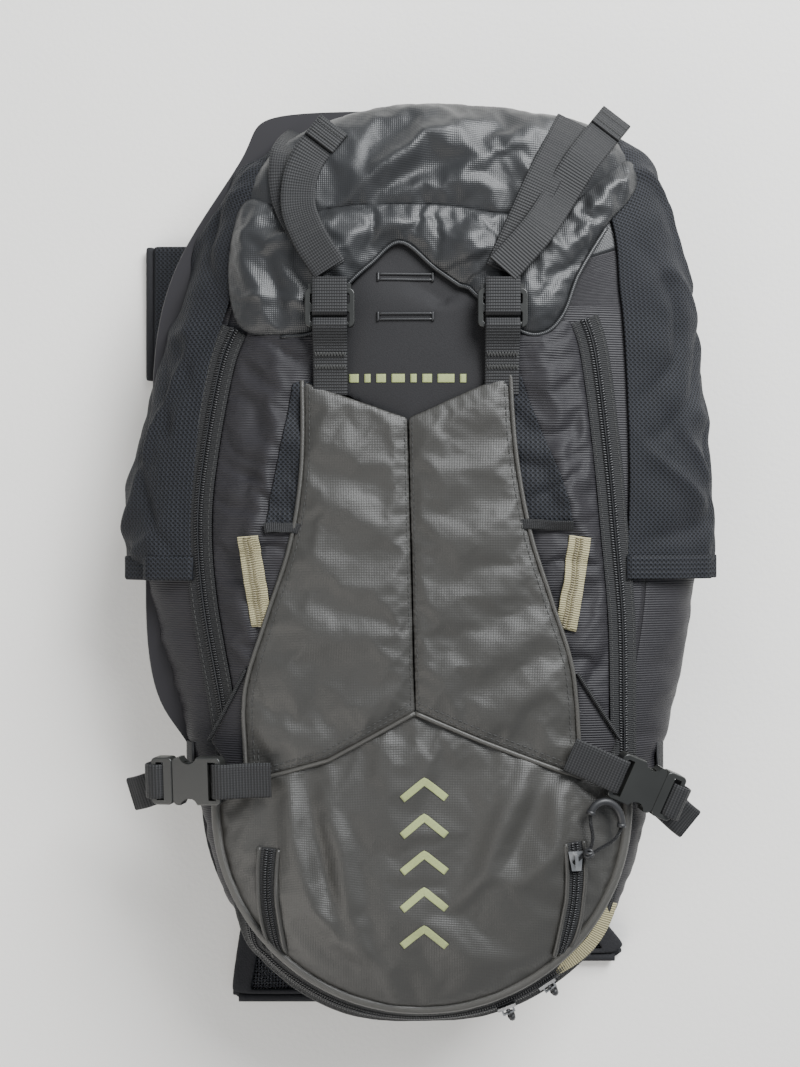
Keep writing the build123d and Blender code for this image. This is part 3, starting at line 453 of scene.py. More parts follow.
class PackForm:
    """The stuffed bag's outer form: a pillow over the outline, with a seam round its back."""

    def __init__(self, settings):
        self.crown = settings.crown
        self.belly = settings.belly
        self.seam = settings.seam
        self.rim = flow(OUTLINE, 0.0035, closed=True)
        self.count = len(self.rim)
        mesh = self.patch_mesh(0, self.count, 0.0, 150.0, 60, closed=True)
        self.tree = BVHTree.FromBMesh(mesh)
        mesh.free()

    def middle(self, edge):
        y = max(SPINE[0].y, min(SPINE[1].y, edge.y))
        share = (y - SPINE[0].y) / (SPINE[1].y - SPINE[0].y)
        return Vector((lerp(SPINE[0].x, SPINE[1].x, share), y))

    def point(self, index, angle, lift=0.0):
        """A point on the form: angle is 0 on the crown, 90 at the belly, and 150 at the seam."""
        edge = self.rim[index % self.count]
        middle = self.middle(edge)
        top_end = smooth_step(-0.10, -0.21, edge.y)
        base_end = smooth_step(0.15, 0.25, edge.y)
        power = 2.7 + 2.6 * top_end + 0.9 * base_end
        crown = self.crown - 0.004 * base_end
        turn = math.radians(angle)
        if angle <= 90:
            reach = max(0.0, math.sin(turn)) ** (2 / power)
            height = self.belly + (crown - self.belly) * max(0.0, math.cos(turn)) ** (2 / power)
        else:
            under = (angle - 90) / 60
            inset = 0.10 + 0.03 * base_end
            reach = 1 - inset * (1 - math.cos(under * math.pi / 2))
            height = self.belly + (self.seam - self.belly) * math.sin(under * math.pi / 2)
        flat = middle.lerp(edge, reach)
        place = Vector((flat.x, flat.y, height))
        if lift:
            outward = edge - middle
            outward.normalize()
            slope = math.sin(turn) if angle <= 90 else 1.0
            place += Vector((outward.x * slope, outward.y * slope,
                             max(0.0, math.cos(turn)) if angle <= 90 else 0.0)) * lift
        return place

    def index_at(self, side, y):
        """The outline's point on one side at a height y along the pack."""
        near = [k for k, p in enumerate(self.rim) if p.x * side > 0]
        return min(near, key=lambda k: abs(self.rim[k].y - y))

    def patch_mesh(self, first, last, low, high, rows, lift=None, closed=False):
        """A grid over part of the form, with its own lengths as UVs."""
        mesh = bmesh.new()
        layer = mesh.loops.layers.uv.new("cloth")
        columns = last - first
        grid = []
        place = []
        for c in range(columns + (0 if closed else 1)):
            run = []
            flat = []
            for r in range(rows + 1):
                angle = lerp(low, high, r / rows)
                raise_by = lift(c / columns, r / rows) if lift else 0.0
                spot = self.point(first + c, angle, raise_by)
                flat.append(flat[-1] + (spot - run[-1].co).length if run else 0.0)
                run.append(mesh.verts.new(spot))
            grid.append(run)
            place.append(flat)
        wide = 0.0035
        for c in range(columns):
            nxt = (c + 1) % len(grid)
            for r in range(rows):
                corners = ((c, r), (nxt, r), (nxt, r + 1), (c, r + 1))
                verts = [grid[a][b] for a, b in corners]
                if len(set(verts)) < 4:
                    continue
                face = mesh.faces.new(verts)
                for loop, (a, b) in zip(face.loops, corners):
                    across = (c + 1 if a == nxt else c) * wide
                    loop[layer].uv = (place[a][b], across)
        bmesh.ops.remove_doubles(mesh, verts=mesh.verts, dist=0.00002)
        bmesh.ops.recalc_face_normals(mesh, faces=mesh.faces)
        if sum(f.normal.z * f.calc_area() for f in mesh.faces) < 0 and high <= 90:
            bmesh.ops.reverse_faces(mesh, faces=mesh.faces)
        return mesh

    def drop(self, x, y, tree=None):
        """The surface straight below a place: the point and its normal."""
        hit, normal, _, _ = (tree or self.tree).ray_cast(Vector((x, y, 0.4)), Vector((0, 0, -1)))
        if hit is None:
            hit, normal, _, _ = (tree or self.tree).find_nearest(Vector((x, y, 0.06)))
        if normal.z < 0:
            normal = -normal
        return hit, normal


def finish_piece(name, mesh, material, body, slot, nodes=(), smooth=True):
    """Turns a bmesh into a piece of the pack."""
    data = bpy.data.meshes.new(name)
    mesh.to_mesh(data)
    mesh.free()
    piece = bpy.data.objects.new(name, data)
    bpy.context.scene.collection.objects.link(piece)
    data.materials.append(FINISH[material])
    if smooth:
        data.polygons.foreach_set("use_smooth", [True] * len(data.polygons))
    if body:
        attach(piece, body)
    if nodes:
        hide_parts(*nodes)
    return piece


def apply_modifier(piece, kind, name, **settings):
    """Adds a modifier, sets it and applies it."""
    bpy.ops.object.select_all(action="DESELECT")
    bpy.context.view_layer.objects.active = piece
    piece.select_set(True)
    modifier = piece.modifiers.new(name, kind)
    for key, value in settings.items():
        setattr(modifier, key, value)
    bpy.ops.object.modifier_apply(modifier=modifier.name)
    piece.select_set(False)


def thicken(piece, thickness, levels=0, offset=-1.0):
    apply_modifier(piece, "SOLIDIFY", "wall", thickness=thickness, offset=offset,
                   use_even_offset=False)
    if levels:
        apply_modifier(piece, "SUBSURF", "smooth", levels=levels, render_levels=levels)


def inside(point, outline):
    """Whether a point is within a closed outline."""
    odd = False
    for (ax, ay), (bx, by) in zip(outline, outline[1:] + outline[:1]):
        if (ay > point[1]) != (by > point[1]):
            if point[0] < (bx - ax) * (point[1] - ay) / (by - ay) + ax:
                odd = not odd
    return odd


def edge_distance(point, outline):
    """How far a point is from the nearest side of an outline."""
    best = 1e9
    px, py = point
    for (ax, ay), (bx, by) in zip(outline, outline[1:] + outline[:1]):
        dx, dy = bx - ax, by - ay
        size = dx * dx + dy * dy
        t = 0.0 if size == 0 else max(0.0, min(1.0, ((px - ax) * dx + (py - ay) * dy) / size))
        best = min(best, (px - ax - t * dx) ** 2 + (py - ay - t * dy) ** 2)
    return math.sqrt(best)


def draped_mesh(form, outline, spacing, lift, seed=1, window=()):
    """A cut of cloth laid over the form. lift(x, y, edge) says how high it stands there."""
    rim = [tuple(p[:2]) for p in outline]
    hole = [tuple(p[:2]) for p in window]
    rng = random.Random(seed)
    low_x, high_x = min(p[0] for p in rim), max(p[0] for p in rim)
    low_y, high_y = min(p[1] for p in rim), max(p[1] for p in rim)
    points = rim + hole
    edges = [(k, (k + 1) % len(rim)) for k in range(len(rim))]
    edges += [(len(rim) + k, len(rim) + (k + 1) % len(hole)) for k in range(len(hole))]
    row = 0
    y = low_y + spacing / 2
    while y < high_y:
        x = low_x + (spacing / 2 if row % 2 else 0.0)
        while x < high_x:
            spot = (x + rng.uniform(-0.1, 0.1) * spacing, y + rng.uniform(-0.1, 0.1) * spacing)
            clear = min(edge_distance(spot, line) for line in (rim, hole) if line)
            if inside(spot, rim) and clear > spacing * 0.55:
                points.append(spot)
            x += spacing
        y += spacing * 0.866
        row += 1
    verts, _, faces, _, _, _ = geometry.delaunay_2d_cdt(
        [Vector(p) for p in points], edges, [], 1, 1e-7)
    mesh = bmesh.new()
    layer = mesh.loops.layers.uv.new("cloth")
    made = []
    for spot in verts:
        hit, normal = form.drop(spot.x, spot.y)
        rise = lift(spot.x, spot.y, edge_distance(spot, rim))
        made.append(mesh.verts.new(hit + normal * rise))
    flat = {vert: Vector(spot) for vert, spot in zip(made, verts)}
    for face in faces:
        centre = sum((verts[k] for k in face), Vector((0, 0))) / len(face)
        if len(set(face)) == 3 and not (hole and inside(centre, hole)):
            tri = mesh.faces.new([made[k] for k in face])
            for loop in tri.loops:
                loop[layer].uv = flat[loop.vert]
    loose = [v for v in mesh.verts if not v.link_faces]
    bmesh.ops.delete(mesh, geom=loose, context="VERTS")
    bmesh.ops.recalc_face_normals(mesh, faces=mesh.faces)
    if sum(f.normal.z * f.calc_area() for f in mesh.faces) < 0:
        bmesh.ops.reverse_faces(mesh, faces=mesh.faces)
    return mesh


def open_rim(piece):
    """The numbers of the points on a cloth's open edge."""
    counts = {}
    for polygon in piece.data.polygons:
        for key in polygon.edge_keys:
            counts[key] = counts.get(key, 0) + 1
    return sorted({v for key, n in counts.items() if n == 1 for v in key})


def settle(piece, frames, growth, held=None, collider=None, pressure=0.0, bending=0.4, cap=0.012):
    """Lets a cloth that is cut a little large find its own folds between its held points."""
    scene = bpy.context.scene
    start = [v.co.copy() for v in piece.data.vertices]
    group = piece.vertex_groups.new(name="held")
    group.add(held if held is not None else open_rim(piece), 1.0, "REPLACE")
    modifier = piece.modifiers.new("Cloth", "CLOTH")
    cloth = modifier.settings
    cloth.quality = 7
    cloth.mass = 0.12
    cloth.tension_stiffness = 20
    cloth.compression_stiffness = 20
    cloth.shear_stiffness = 8
    cloth.bending_stiffness = bending
    cloth.air_damping = 2.0
    cloth.vertex_group_mass = "held"
    cloth.shrink_min = -growth
    cloth.shrink_max = -growth
    cloth.effector_weights.gravity = 0.0
    if pressure:
        cloth.use_pressure = True
        cloth.uniform_pressure_force = pressure
    modifier.collision_settings.use_self_collision = False
    modifier.collision_settings.use_collision = collider is not None
    modifier.collision_settings.distance_min = 0.001
    bump = None
    if collider is not None:
        bump = collider.modifiers.new("Collision", "COLLISION")
        collider.collision.thickness_outer = 0.001
    modifier.point_cache.frame_start = 1
    modifier.point_cache.frame_end = frames
    for frame_number in range(1, frames + 1):
        scene.frame_set(frame_number)
    bpy.ops.object.select_all(action="DESELECT")
    bpy.context.view_layer.objects.active = piece
    piece.select_set(True)
    bpy.ops.object.modifier_apply(modifier=modifier.name)
    piece.select_set(False)
    if bump:
        collider.modifiers.remove(bump)
    scene.frame_set(1)
    for vert, before in zip(piece.data.vertices, start):
        move = vert.co - before
        if move.length > cap:
            vert.co = before + move * (cap / move.length)
    piece.vertex_groups.clear()


def folds(x, y, seed, along, size, sharp=2.0):
    """Ridges that run along a direction, from 0 to 1: soft creases between flatter cloth."""
    c, s = math.cos(along), math.sin(along)
    a, b = x * c + y * s, -x * s + y * c
    wander = noise.noise(Vector((a / (size * 2.2), b / (size * 2.2), seed + 7.3))) * size * 0.9
    value = noise.noise(Vector((a / (size * 3.4), (b + wander) / size, seed)))
    return max(0.0, 1.0 - abs(value) * 3.2) ** sharp


def crease(x, y, lines):
    """The height of drawn folds: each is its points, its half width and its height, in mm."""
    here = Vector((x / MM, y / MM))
    total = 0.0
    for points, half, height in lines:
        best = 1e9
        run = 0.0
        whole = sum((Vector(b) - Vector(a)).length for a, b in zip(points, points[1:]))
        where = 0.0
        for a, b in zip(points, points[1:]):
            a, b = Vector(a), Vector(b)
            way = b - a
            t = max(0.0, min(1.0, (here - a).dot(way) / way.length_squared))
            distance = (here - a - way * t).length
            if distance < best:
                best = distance
                where = (run + way.length * t) / whole
            run += way.length
        taper = math.sin(math.pi * (0.12 + 0.76 * where))
        total += height * taper * math.exp(-(best / half) ** 2)
    return total * MM


class Track:
    """A line on a surface: its points, the way along it and the way off the surface."""

    def __init__(self, places, normals):
        self.places = places
        self.normals = normals

    @classmethod
    def laid(cls, form, points, lift, tree=None, ease=3):
        """A plan line laid on a surface, with its height evened out along it."""
        hits = [form.drop(p[0], p[1], tree) for p in points]
        places = [hit + normal * lift for hit, normal in hits]
        normals = [normal.copy() for _, normal in hits]
        for _ in range(ease):
            flat = [p.copy() for p in places]
            for k in range(1, len(places) - 1):
                flat[k].z = (places[k - 1].z + 2 * places[k].z + places[k + 1].z) / 4
                normals[k] = (normals[k - 1] + normals[k] * 2 + normals[k + 1]).normalized()
            places = flat
        return cls(places, normals)

    def way(self, k):
        a = self.places[max(0, k - 1)]
        b = self.places[min(len(self.places) - 1, k + 1)]
        return (b - a).normalized()



def ribbon(track, width, thickness, pitch=0.0, sides=5, ends=True):
    """A strap along a track, with soft edges and, with a pitch, ribs across it."""
    mesh = bmesh.new()
    layer = mesh.loops.layers.uv.new("cloth")
    half, deep = width / 2, thickness / 2
    section = []
    for k in range(sides + 1):
        section.append((lerp(-half + deep, half - deep, k / sides), deep))
    section.append((half - deep * 0.3, deep * 0.75))
    section.append((half, 0.0))
    section.append((half - deep * 0.3, -deep * 0.75))
    for k in range(sides + 1):
        section.append((lerp(half - deep, -half + deep, k / sides), -deep))
    section.append((-half + deep * 0.3, -deep * 0.75))
    section.append((-half, 0.0))
    section.append((-half + deep * 0.3, deep * 0.75))
    rings = []
    along = 0.0
    lengths = []
    for k, place in enumerate(track.places):
        if k:
            along += (place - track.places[k - 1]).length
        lengths.append(along)
        way = track.way(k)
        side = way.cross(track.normals[k]).normalized()
        up = side.cross(way).normalized()
        rib = 0.5 * math.cos(TURN * along / pitch) * min(0.00022, thickness / 6) if pitch else 0.0
        ring = []
        for across, height in section:
            grow = rib if abs(across) < half * 0.97 else rib * 0.4
            level = height + math.copysign(grow, height) if height else 0.0
            ring.append(mesh.verts.new(place + side * across + up * level))
        rings.append(ring)
    count = len(section)
    for k in range(len(rings) - 1):
        for j in range(count):
            n = (j + 1) % count
            face = mesh.faces.new((rings[k][j], rings[k][n], rings[k + 1][n], rings[k + 1][j]))
            for loop, (a, b) in zip(face.loops, ((k, j), (k, n), (k + 1, n), (k + 1, j))):
                loop[layer].uv = (section[b][0], lengths[a])
    if ends:
        mesh.faces.new(reversed(rings[0]))
        mesh.faces.new(rings[-1])
    bmesh.ops.recalc_face_normals(mesh, faces=mesh.faces)
    return mesh


def tube(places, radius, sides=8, closed=False, squash=1.0):
    """A round cord along points."""
    mesh = bmesh.new()
    layer = mesh.loops.layers.uv.new("cloth")
    rings = []
    lengths = []
    along = 0.0
    up = Vector((0, 0, 1))
    count = len(places)
    for k, place in enumerate(places):
        before = places[(k - 1) % count] if closed else places[max(0, k - 1)]
        after = places[(k + 1) % count] if closed else places[min(count - 1, k + 1)]
        way = (after - before).normalized()
        side = way.cross(up)
        side = side.normalized() if side.length > 1e-4 else Vector((1, 0, 0))
        up_here = side.cross(way).normalized()
        if k:
            along += (place - places[k - 1]).length
        lengths.append(along)
        rings.append([mesh.verts.new(place + side * math.cos(TURN * j / sides) * radius
                                     + up_here * math.sin(TURN * j / sides) * radius * squash)
                      for j in range(sides)])
    spans = count if closed else count - 1
    for k in range(spans):
        n = (k + 1) % count
        for j in range(sides):
            i = (j + 1) % sides
            face = mesh.faces.new((rings[k][j], rings[k][i], rings[n][i], rings[n][j]))
            for loop, (a, b) in zip(face.loops, ((k, j), (k, j + 1), (k + 1, j + 1), (k + 1, j))):
                loop[layer].uv = (b * radius * TURN / sides,
                                  lengths[a] if a < count else along + 0.002)
    if not closed:
        mesh.faces.new(reversed(rings[0]))
        mesh.faces.new(rings[-1])
    bmesh.ops.recalc_face_normals(mesh, faces=mesh.faces)
    return mesh


def grains(track, pitch, length, width, height, across=0.0, slant=0.0, sides=6):
    """Small rounded bars laid along a track, such as stitches or a coil's teeth."""
    mesh = bmesh.new()
    layer = mesh.loops.layers.uv.new("cloth")
    along = 0.0
    due = pitch / 2
    for k in range(1, len(track.places)):
        a, b = track.places[k - 1], track.places[k]
        span = (b - a).length
        while due <= along + span and span > 0:
            spot = a.lerp(b, (due - along) / span)
            way = track.way(k)
            normal = track.normals[k]
            side = way.cross(normal).normalized()
            up = side.cross(way).normalized()
            centre = spot + side * across
            run = (way * math.cos(slant) + side * math.sin(slant)).normalized()
            cross = run.cross(up).normalized()
            rings = []
            for share, size in ((-0.5, 0.35), (-0.36, 0.9), (0.0, 1.0), (0.36, 0.9), (0.5, 0.35)):
                rings.append([mesh.verts.new(
                    centre + run * share * length
                    + cross * math.cos(TURN * j / sides) * width / 2 * size
                    + up * math.sin(TURN * j / sides) * height / 2 * size)
                    for j in range(sides)])
            for p, q in zip(rings, rings[1:]):
                for j in range(sides):
                    mesh.faces.new((p[j], p[(j + 1) % sides], q[(j + 1) % sides], q[j]))
            mesh.faces.new(reversed(rings[0]))
            mesh.faces.new(rings[-1])
            due += pitch
        along += span
    for face in mesh.faces:
        for loop in face.loops:
            loop[layer].uv = (loop.vert.co.x, loop.vert.co.y)
    bmesh.ops.recalc_face_normals(mesh, faces=mesh.faces)
    return mesh


def joined(name, meshes, *rest, **more):
    """One piece from several bmeshes."""
    whole = bmesh.new()
    for mesh in meshes:
        data = bpy.data.meshes.new("part")
        mesh.to_mesh(data)
        mesh.free()
        whole.from_mesh(data)
        bpy.data.meshes.remove(data)
    return finish_piece(name, whole, *rest, **more)


def surface_of(piece):
    """A tree of a finished piece's faces, for laying things on it."""
    mesh = bmesh.new()
    mesh.from_mesh(piece.data)
    tree = BVHTree.FromBMesh(mesh)
    mesh.free()
    return tree


def shifted(points, distance):
    """A plan line moved to its left by a distance."""
    out = []
    for k, p in enumerate(points):
        a = Vector(points[max(0, k - 1)])
        b = Vector(points[min(len(points) - 1, k + 1)])
        way = (b - a).to_2d().normalized()
        out.append(Vector((p[0] - way.y * distance, p[1] + way.x * distance)))
    return out


# Seams and edges of the front, in plan, in millimetres.
HARNESS_EDGE = {
    -1: scaled([(-64, 102), (-64.5, 52), (-71, 9), (-84, -32), (-96, -73), (-96, -107)]),
    1: scaled([(53, 107), (56, 63), (64, 17), (76, -22), (88, -62), (92, -110)]),
}
HARNESS_BASE = {
    -1: scaled([(-96, -107), (-95, -127), (-49, -113), (-0.6, -86)]),
    1: scaled([(92, -110), (93, -124), (37, -102), (-0.6, -86)]),
}
NOTCH = tuple(c * MM for c in (-4.6, 81))
ZIP_LINE = {
    -1: scaled([(-104, 133), (-112, 112), (-121, 64), (-125, 22), (-122, -23), (-112, -81),
                (-107, -116), (-103, -160), (-96, -200)]),
    1: scaled([(96, 138), (102, 118), (109, 64), (114, 12), (118, -34), (119, -81), (119, -127),
               (112, -172), (104, -200)]),
}
FORM = {}


# ---------------------------------------------------------------------------------------------
# Operators
# ---------------------------------------------------------------------------------------------
class PackOperator:
    """What the pack's operators share."""

    bl_options = {"REGISTER", "UNDO"}

    def execute(self, context):
        self.make(context)
        return {"FINISHED"}


class PACK_OT_stage(PackOperator, bpy.types.Operator):
    """Sets the floor, the light and the camera"""

    bl_idname = "pack.stage"
    bl_label = "Stage"

    def make(self, context):
        bpy.ops.object.select_all(action="DESELECT")
        bpy.ops.mesh.primitive_plane_add(size=6.0, location=(0, 0, 0))
        floor = context.object
        floor.name = "floor"
        paper = Finish("floor_paper", roughness=0.9, specular_ior_level=0.2)
        paper.feed("Base Color", paper.blend(paper.cloud(5.0), (0.86, 0.838, 0.795),
                                             (0.93, 0.908, 0.865)))
        paper.relief(paper.cloud(300.0, 3.0), 0.0002)
        floor.data.materials.append(paper.material)
        world = bpy.data.worlds.new("room")
        world.use_nodes = True
        world.node_tree.nodes["Background"].inputs["Color"].default_value = (0.86, 0.92, 1.0, 1)
        world.node_tree.nodes["Background"].inputs["Strength"].default_value = 0.55
        context.scene.world = world
        for name, place, size, power, colour in (
            ("window", (0.85, 1.25, 1.25), 1.1, 88.0, (0.96, 0.98, 1.0)),
            ("room_fill", (-1.1, -1.2, 1.2), 1.4, 24.0, (1.0, 0.95, 0.88)),
        ):
            light = bpy.data.lights.new(name, "AREA")
            light.size = size
            light.energy = power
            light.color = colour
            lamp = bpy.data.objects.new(name, light)
            context.scene.collection.objects.link(lamp)
            lamp.location = place
            lamp.rotation_euler = (Vector((0, 0, 0.05)) - Vector(place)).to_track_quat(
                "-Z", "Y").to_euler()
        camera = bpy.data.cameras.new("camera")
        camera.lens = 47.2
        camera.sensor_width = 36.0
        eye = bpy.data.objects.new("camera", camera)
        context.scene.collection.objects.link(eye)
        eye.location = (-0.0091, 0.0155, 0.900)
        context.scene.camera = eye


class PACK_OT_pull_cord(PackOperator, bpy.types.Operator):
    """Makes the pocket zip's cord pull, with its grip and knot"""

    bl_idname = "pack.pull_cord"
    bl_label = "Zip pull cord"

    route = scaled([
        (88.0, -169.4, 116.3), (91.6, -166.6, 116.3), (95.4, -163.6, 116.2),
        (98.6, -159.6, 115.8), (99.2, -153.6, 115.4), (97.8, -147.4, 115.0),
        (97.6, -141.2, 114.8), (100.8, -136.4, 114.4), (106.6, -134.6, 113.6),
        (112.0, -137.4, 112.2), (115.4, -142.8, 111.2), (116.2, -149.2, 111.0),
        (113.6, -155.4, 111.8), (108.0, -159.2, 113.6), (102.4, -161.2, 116.6),
        (98.2, -163.4, 118.2),
    ])

    def make(self, context):
        data = bpy.data.curves.new("pull_cord_line", "CURVE")
        data.dimensions = "3D"
        spline = data.splines.new("NURBS")
        spline.points.add(len(self.route) - 1)
        for point, place in zip(spline.points, self.route):
            point.co = (*place, 1.0)
        spline.order_u = 3
        spline.use_endpoint_u = True
        spline.resolution_u = 8
        line = bpy.data.objects.new("pull_cord_line", data)
        context.scene.collection.objects.link(line)
        shape = bpy.data.meshes.new_from_object(line)
        path = [v.co.copy() for v in shape.vertices]
        bpy.data.meshes.remove(shape)
        data.bevel_depth = 0.001
        data.bevel_resolution = 3
        data.use_fill_caps = True
        line.name = "zip_pull_cord"
        data.materials.append(FINISH["cord"])
        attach(line, "pocket_slider")
        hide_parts("pull_cord")
        grip = self.make_grip(path)
        length = sum((b - a).length for a, b in zip(path, path[1:]))
        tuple(self.route[0])

    def make_grip(self, path):
        """The moulded grip round the loop's far end, and the knot that ties the loop."""
        near = [min(range(len(path)), key=lambda k: (path[k] - Vector(self.route[n])).length)
                for n in (6, 11)]
        stretch = path[near[0]:near[1] + 1]
        meshes = [tube(stretch, 0.0021, 12)]
        for end, other in ((0, 1), (-1, -2)):
            way = (stretch[end] - stretch[other]).normalized()
            meshes.append(tube([stretch[end] - way * 0.001, stretch[end] + way * 0.0012], 0.0026,
                               12))
        centre = Vector((0.0966, -0.1638, 0.1172))
        for tilt in (0.0, 1.1, 2.1):
            ring = []
            for k in range(20):
                turn = TURN * k / 20
                spot = Vector((math.cos(turn) * 0.0022, math.sin(turn) * 0.0022,
                               math.sin(2 * turn) * 0.0006))
                ring.append(centre + Matrix.Rotation(tilt, 3, "X") @ (
                    Matrix.Rotation(tilt * 0.7, 3, "Z") @ spot))
            meshes.append(tube(ring, 0.0011, 8, closed=True))
        return joined("zip_pull_grip", meshes, "grip_rubber", "pocket_slider", "grip_rubber",
                      nodes=("pull_grip",))


class PACK_OT_bag(PackOperator, bpy.types.Operator):
    """Makes the bag's panels: front, sides, base and the top round the reservoir's mouth"""

    bl_idname = "pack.bag"
    bl_label = "Bag"

    def make(self, context):
        form = FORM["bag"]
        wrinkle = 0.0016

        def crumple(seed, amount):
            def lift(c, r):
                edge = min(1.0, 6 * min(r, 1 - r))
                value = noise.fractal(Vector((c * 26 + seed, r * 3.2, seed)), 1.0, 2.2, 3)
                ridge = noise.noise(Vector((c * 60, r * 2.5, seed * 3.1)))
                return amount * edge * (value + 0.6 * (1 - abs(ridge) * 2))
            return lift

        base_right = form.index_at(1, 0.192)
        base_left = form.index_at(-1, 0.178)
        for name, first, last, finish, nodes in (
            ("front_panel", base_right, base_left, "ribbed_nylon", ("front_wall", "back_wall")),
            ("base_front", base_left, base_right + form.count, "coated_ripstop", ()),
        ):
            mesh = form.patch_mesh(first, last, 0.0, 46.0, 26)
            thicken(finish_piece(name, mesh, finish, "pack", finish, nodes=nodes), 0.0012)
        top_right = form.index_at(1, -0.215)
        top_left = form.index_at(-1, -0.215)
        spans = {
            "side_panel_right": (base_right, top_right, "ribbed_nylon", "side_wall_right"),
            "side_panel_left": (top_left, base_left, "ribbed_nylon", "side_wall_left"),
            "base_panel": (base_left, base_right + form.count, "coated_ripstop", "base_wall"),
        }
        for seed, (name, (first, last, finish, node)) in enumerate(spans.items()):
            mesh = form.patch_mesh(first, last, 46.0, 150.0, 44, crumple(seed * 5.3, wrinkle))
            piece = finish_piece(name, mesh, finish, "pack", finish, nodes=(node,))
            thicken(piece, 0.0012, 1)
        self.make_top(form, top_right, top_left)

    def make_top(self, form, first, last):
        """The round end: a hood over the reservoir's mouth and a collar under it."""
        mesh = form.patch_mesh(first, last, 46.0, 150.0, 60)
        doomed = [f for f in mesh.faces
                  if abs(f.calc_center_median().x) < 0.091
                  and 0.029 < f.calc_center_median().z < 0.064]
        bmesh.ops.delete(mesh, geom=doomed, context="FACES")
        piece = finish_piece("top_panel", mesh, "ribbed_nylon", "pack", "ribbed_nylon",
                             nodes=("top_wall",))
        rim = [e for e in self.mouth_edges(piece)]
        thicken(piece, 0.0012)
        meshes = [tube(line, 0.0013, 8) for line in rim]
        joined("mouth_binding", meshes, "binding", "pack", "webbing")

    def mouth_edges(self, piece):
        """The mouth's upper and lower edges, as lines of points."""
        rim = open_rim(piece)
        spots = [piece.data.vertices[k].co for k in rim]
        for level in (0.029, 0.064):
            line = [s.copy() for s in spots if abs(s.z - level) < 0.003 and abs(s.x) < 0.092
                    and s.y < -0.2]
            line.sort(key=lambda s: s.x)
            if len(line) > 3:
                yield line


class PACK_OT_main_zip(PackOperator, bpy.types.Operator):
    """Makes the long curved zip of the main compartment"""

    bl_idname = "pack.main_zip"
    bl_label = "Main zip"

    def make(self, context):
        form = FORM["bag"]
        round_end = []
        for k in range(1, 24):
            turn = math.radians(lerp(-36, -144, k / 24))
            round_end.append((0.003 + 0.1255 * math.cos(turn), -0.140 + 0.1235 * math.sin(turn)))
        whole = list(ZIP_LINE[1]) + round_end + list(reversed(ZIP_LINE[-1]))
        line = flow(whole, 0.0016)
        track = Track.laid(form, line, 0.0012, ease=8)
        tape = finish_piece("long_zip_tape", ribbon(track, 0.017, 0.0011, sides=8), "binding",
                            "pack", "zip_coil", nodes=("main_zip_tape",))
        raised = Track([p + n * 0.0007 for p, n in zip(track.places, track.normals)],
                       track.normals)
        meshes = []
        for side in (-1, 1):
            meshes.append(grains(raised, 0.0015, 0.0026, 0.0011, 0.0014, across=side * 0.0016,
                                 slant=math.pi / 2 + side * 0.22))
        meshes.append(tube([p + n * 0.0004 for p, n in zip(raised.places, raised.normals)],
                           0.00045, 6))
        joined("long_zip_teeth", meshes, "zip_coil", "pack", "zip_coil",
               nodes=("main_zip_teeth",))
        stitches = []
        for side in (-1, 1):
            row = Track([p + n * 0.0006 for p, n in zip(track.places, track.normals)],
                        track.normals)
            stitches.append(grains(row, 0.0032, 0.0022, 0.0005, 0.0004, across=side * 0.0066))
        joined("long_zip_stitches", stitches, "thread", "pack", "webbing")
        return tape


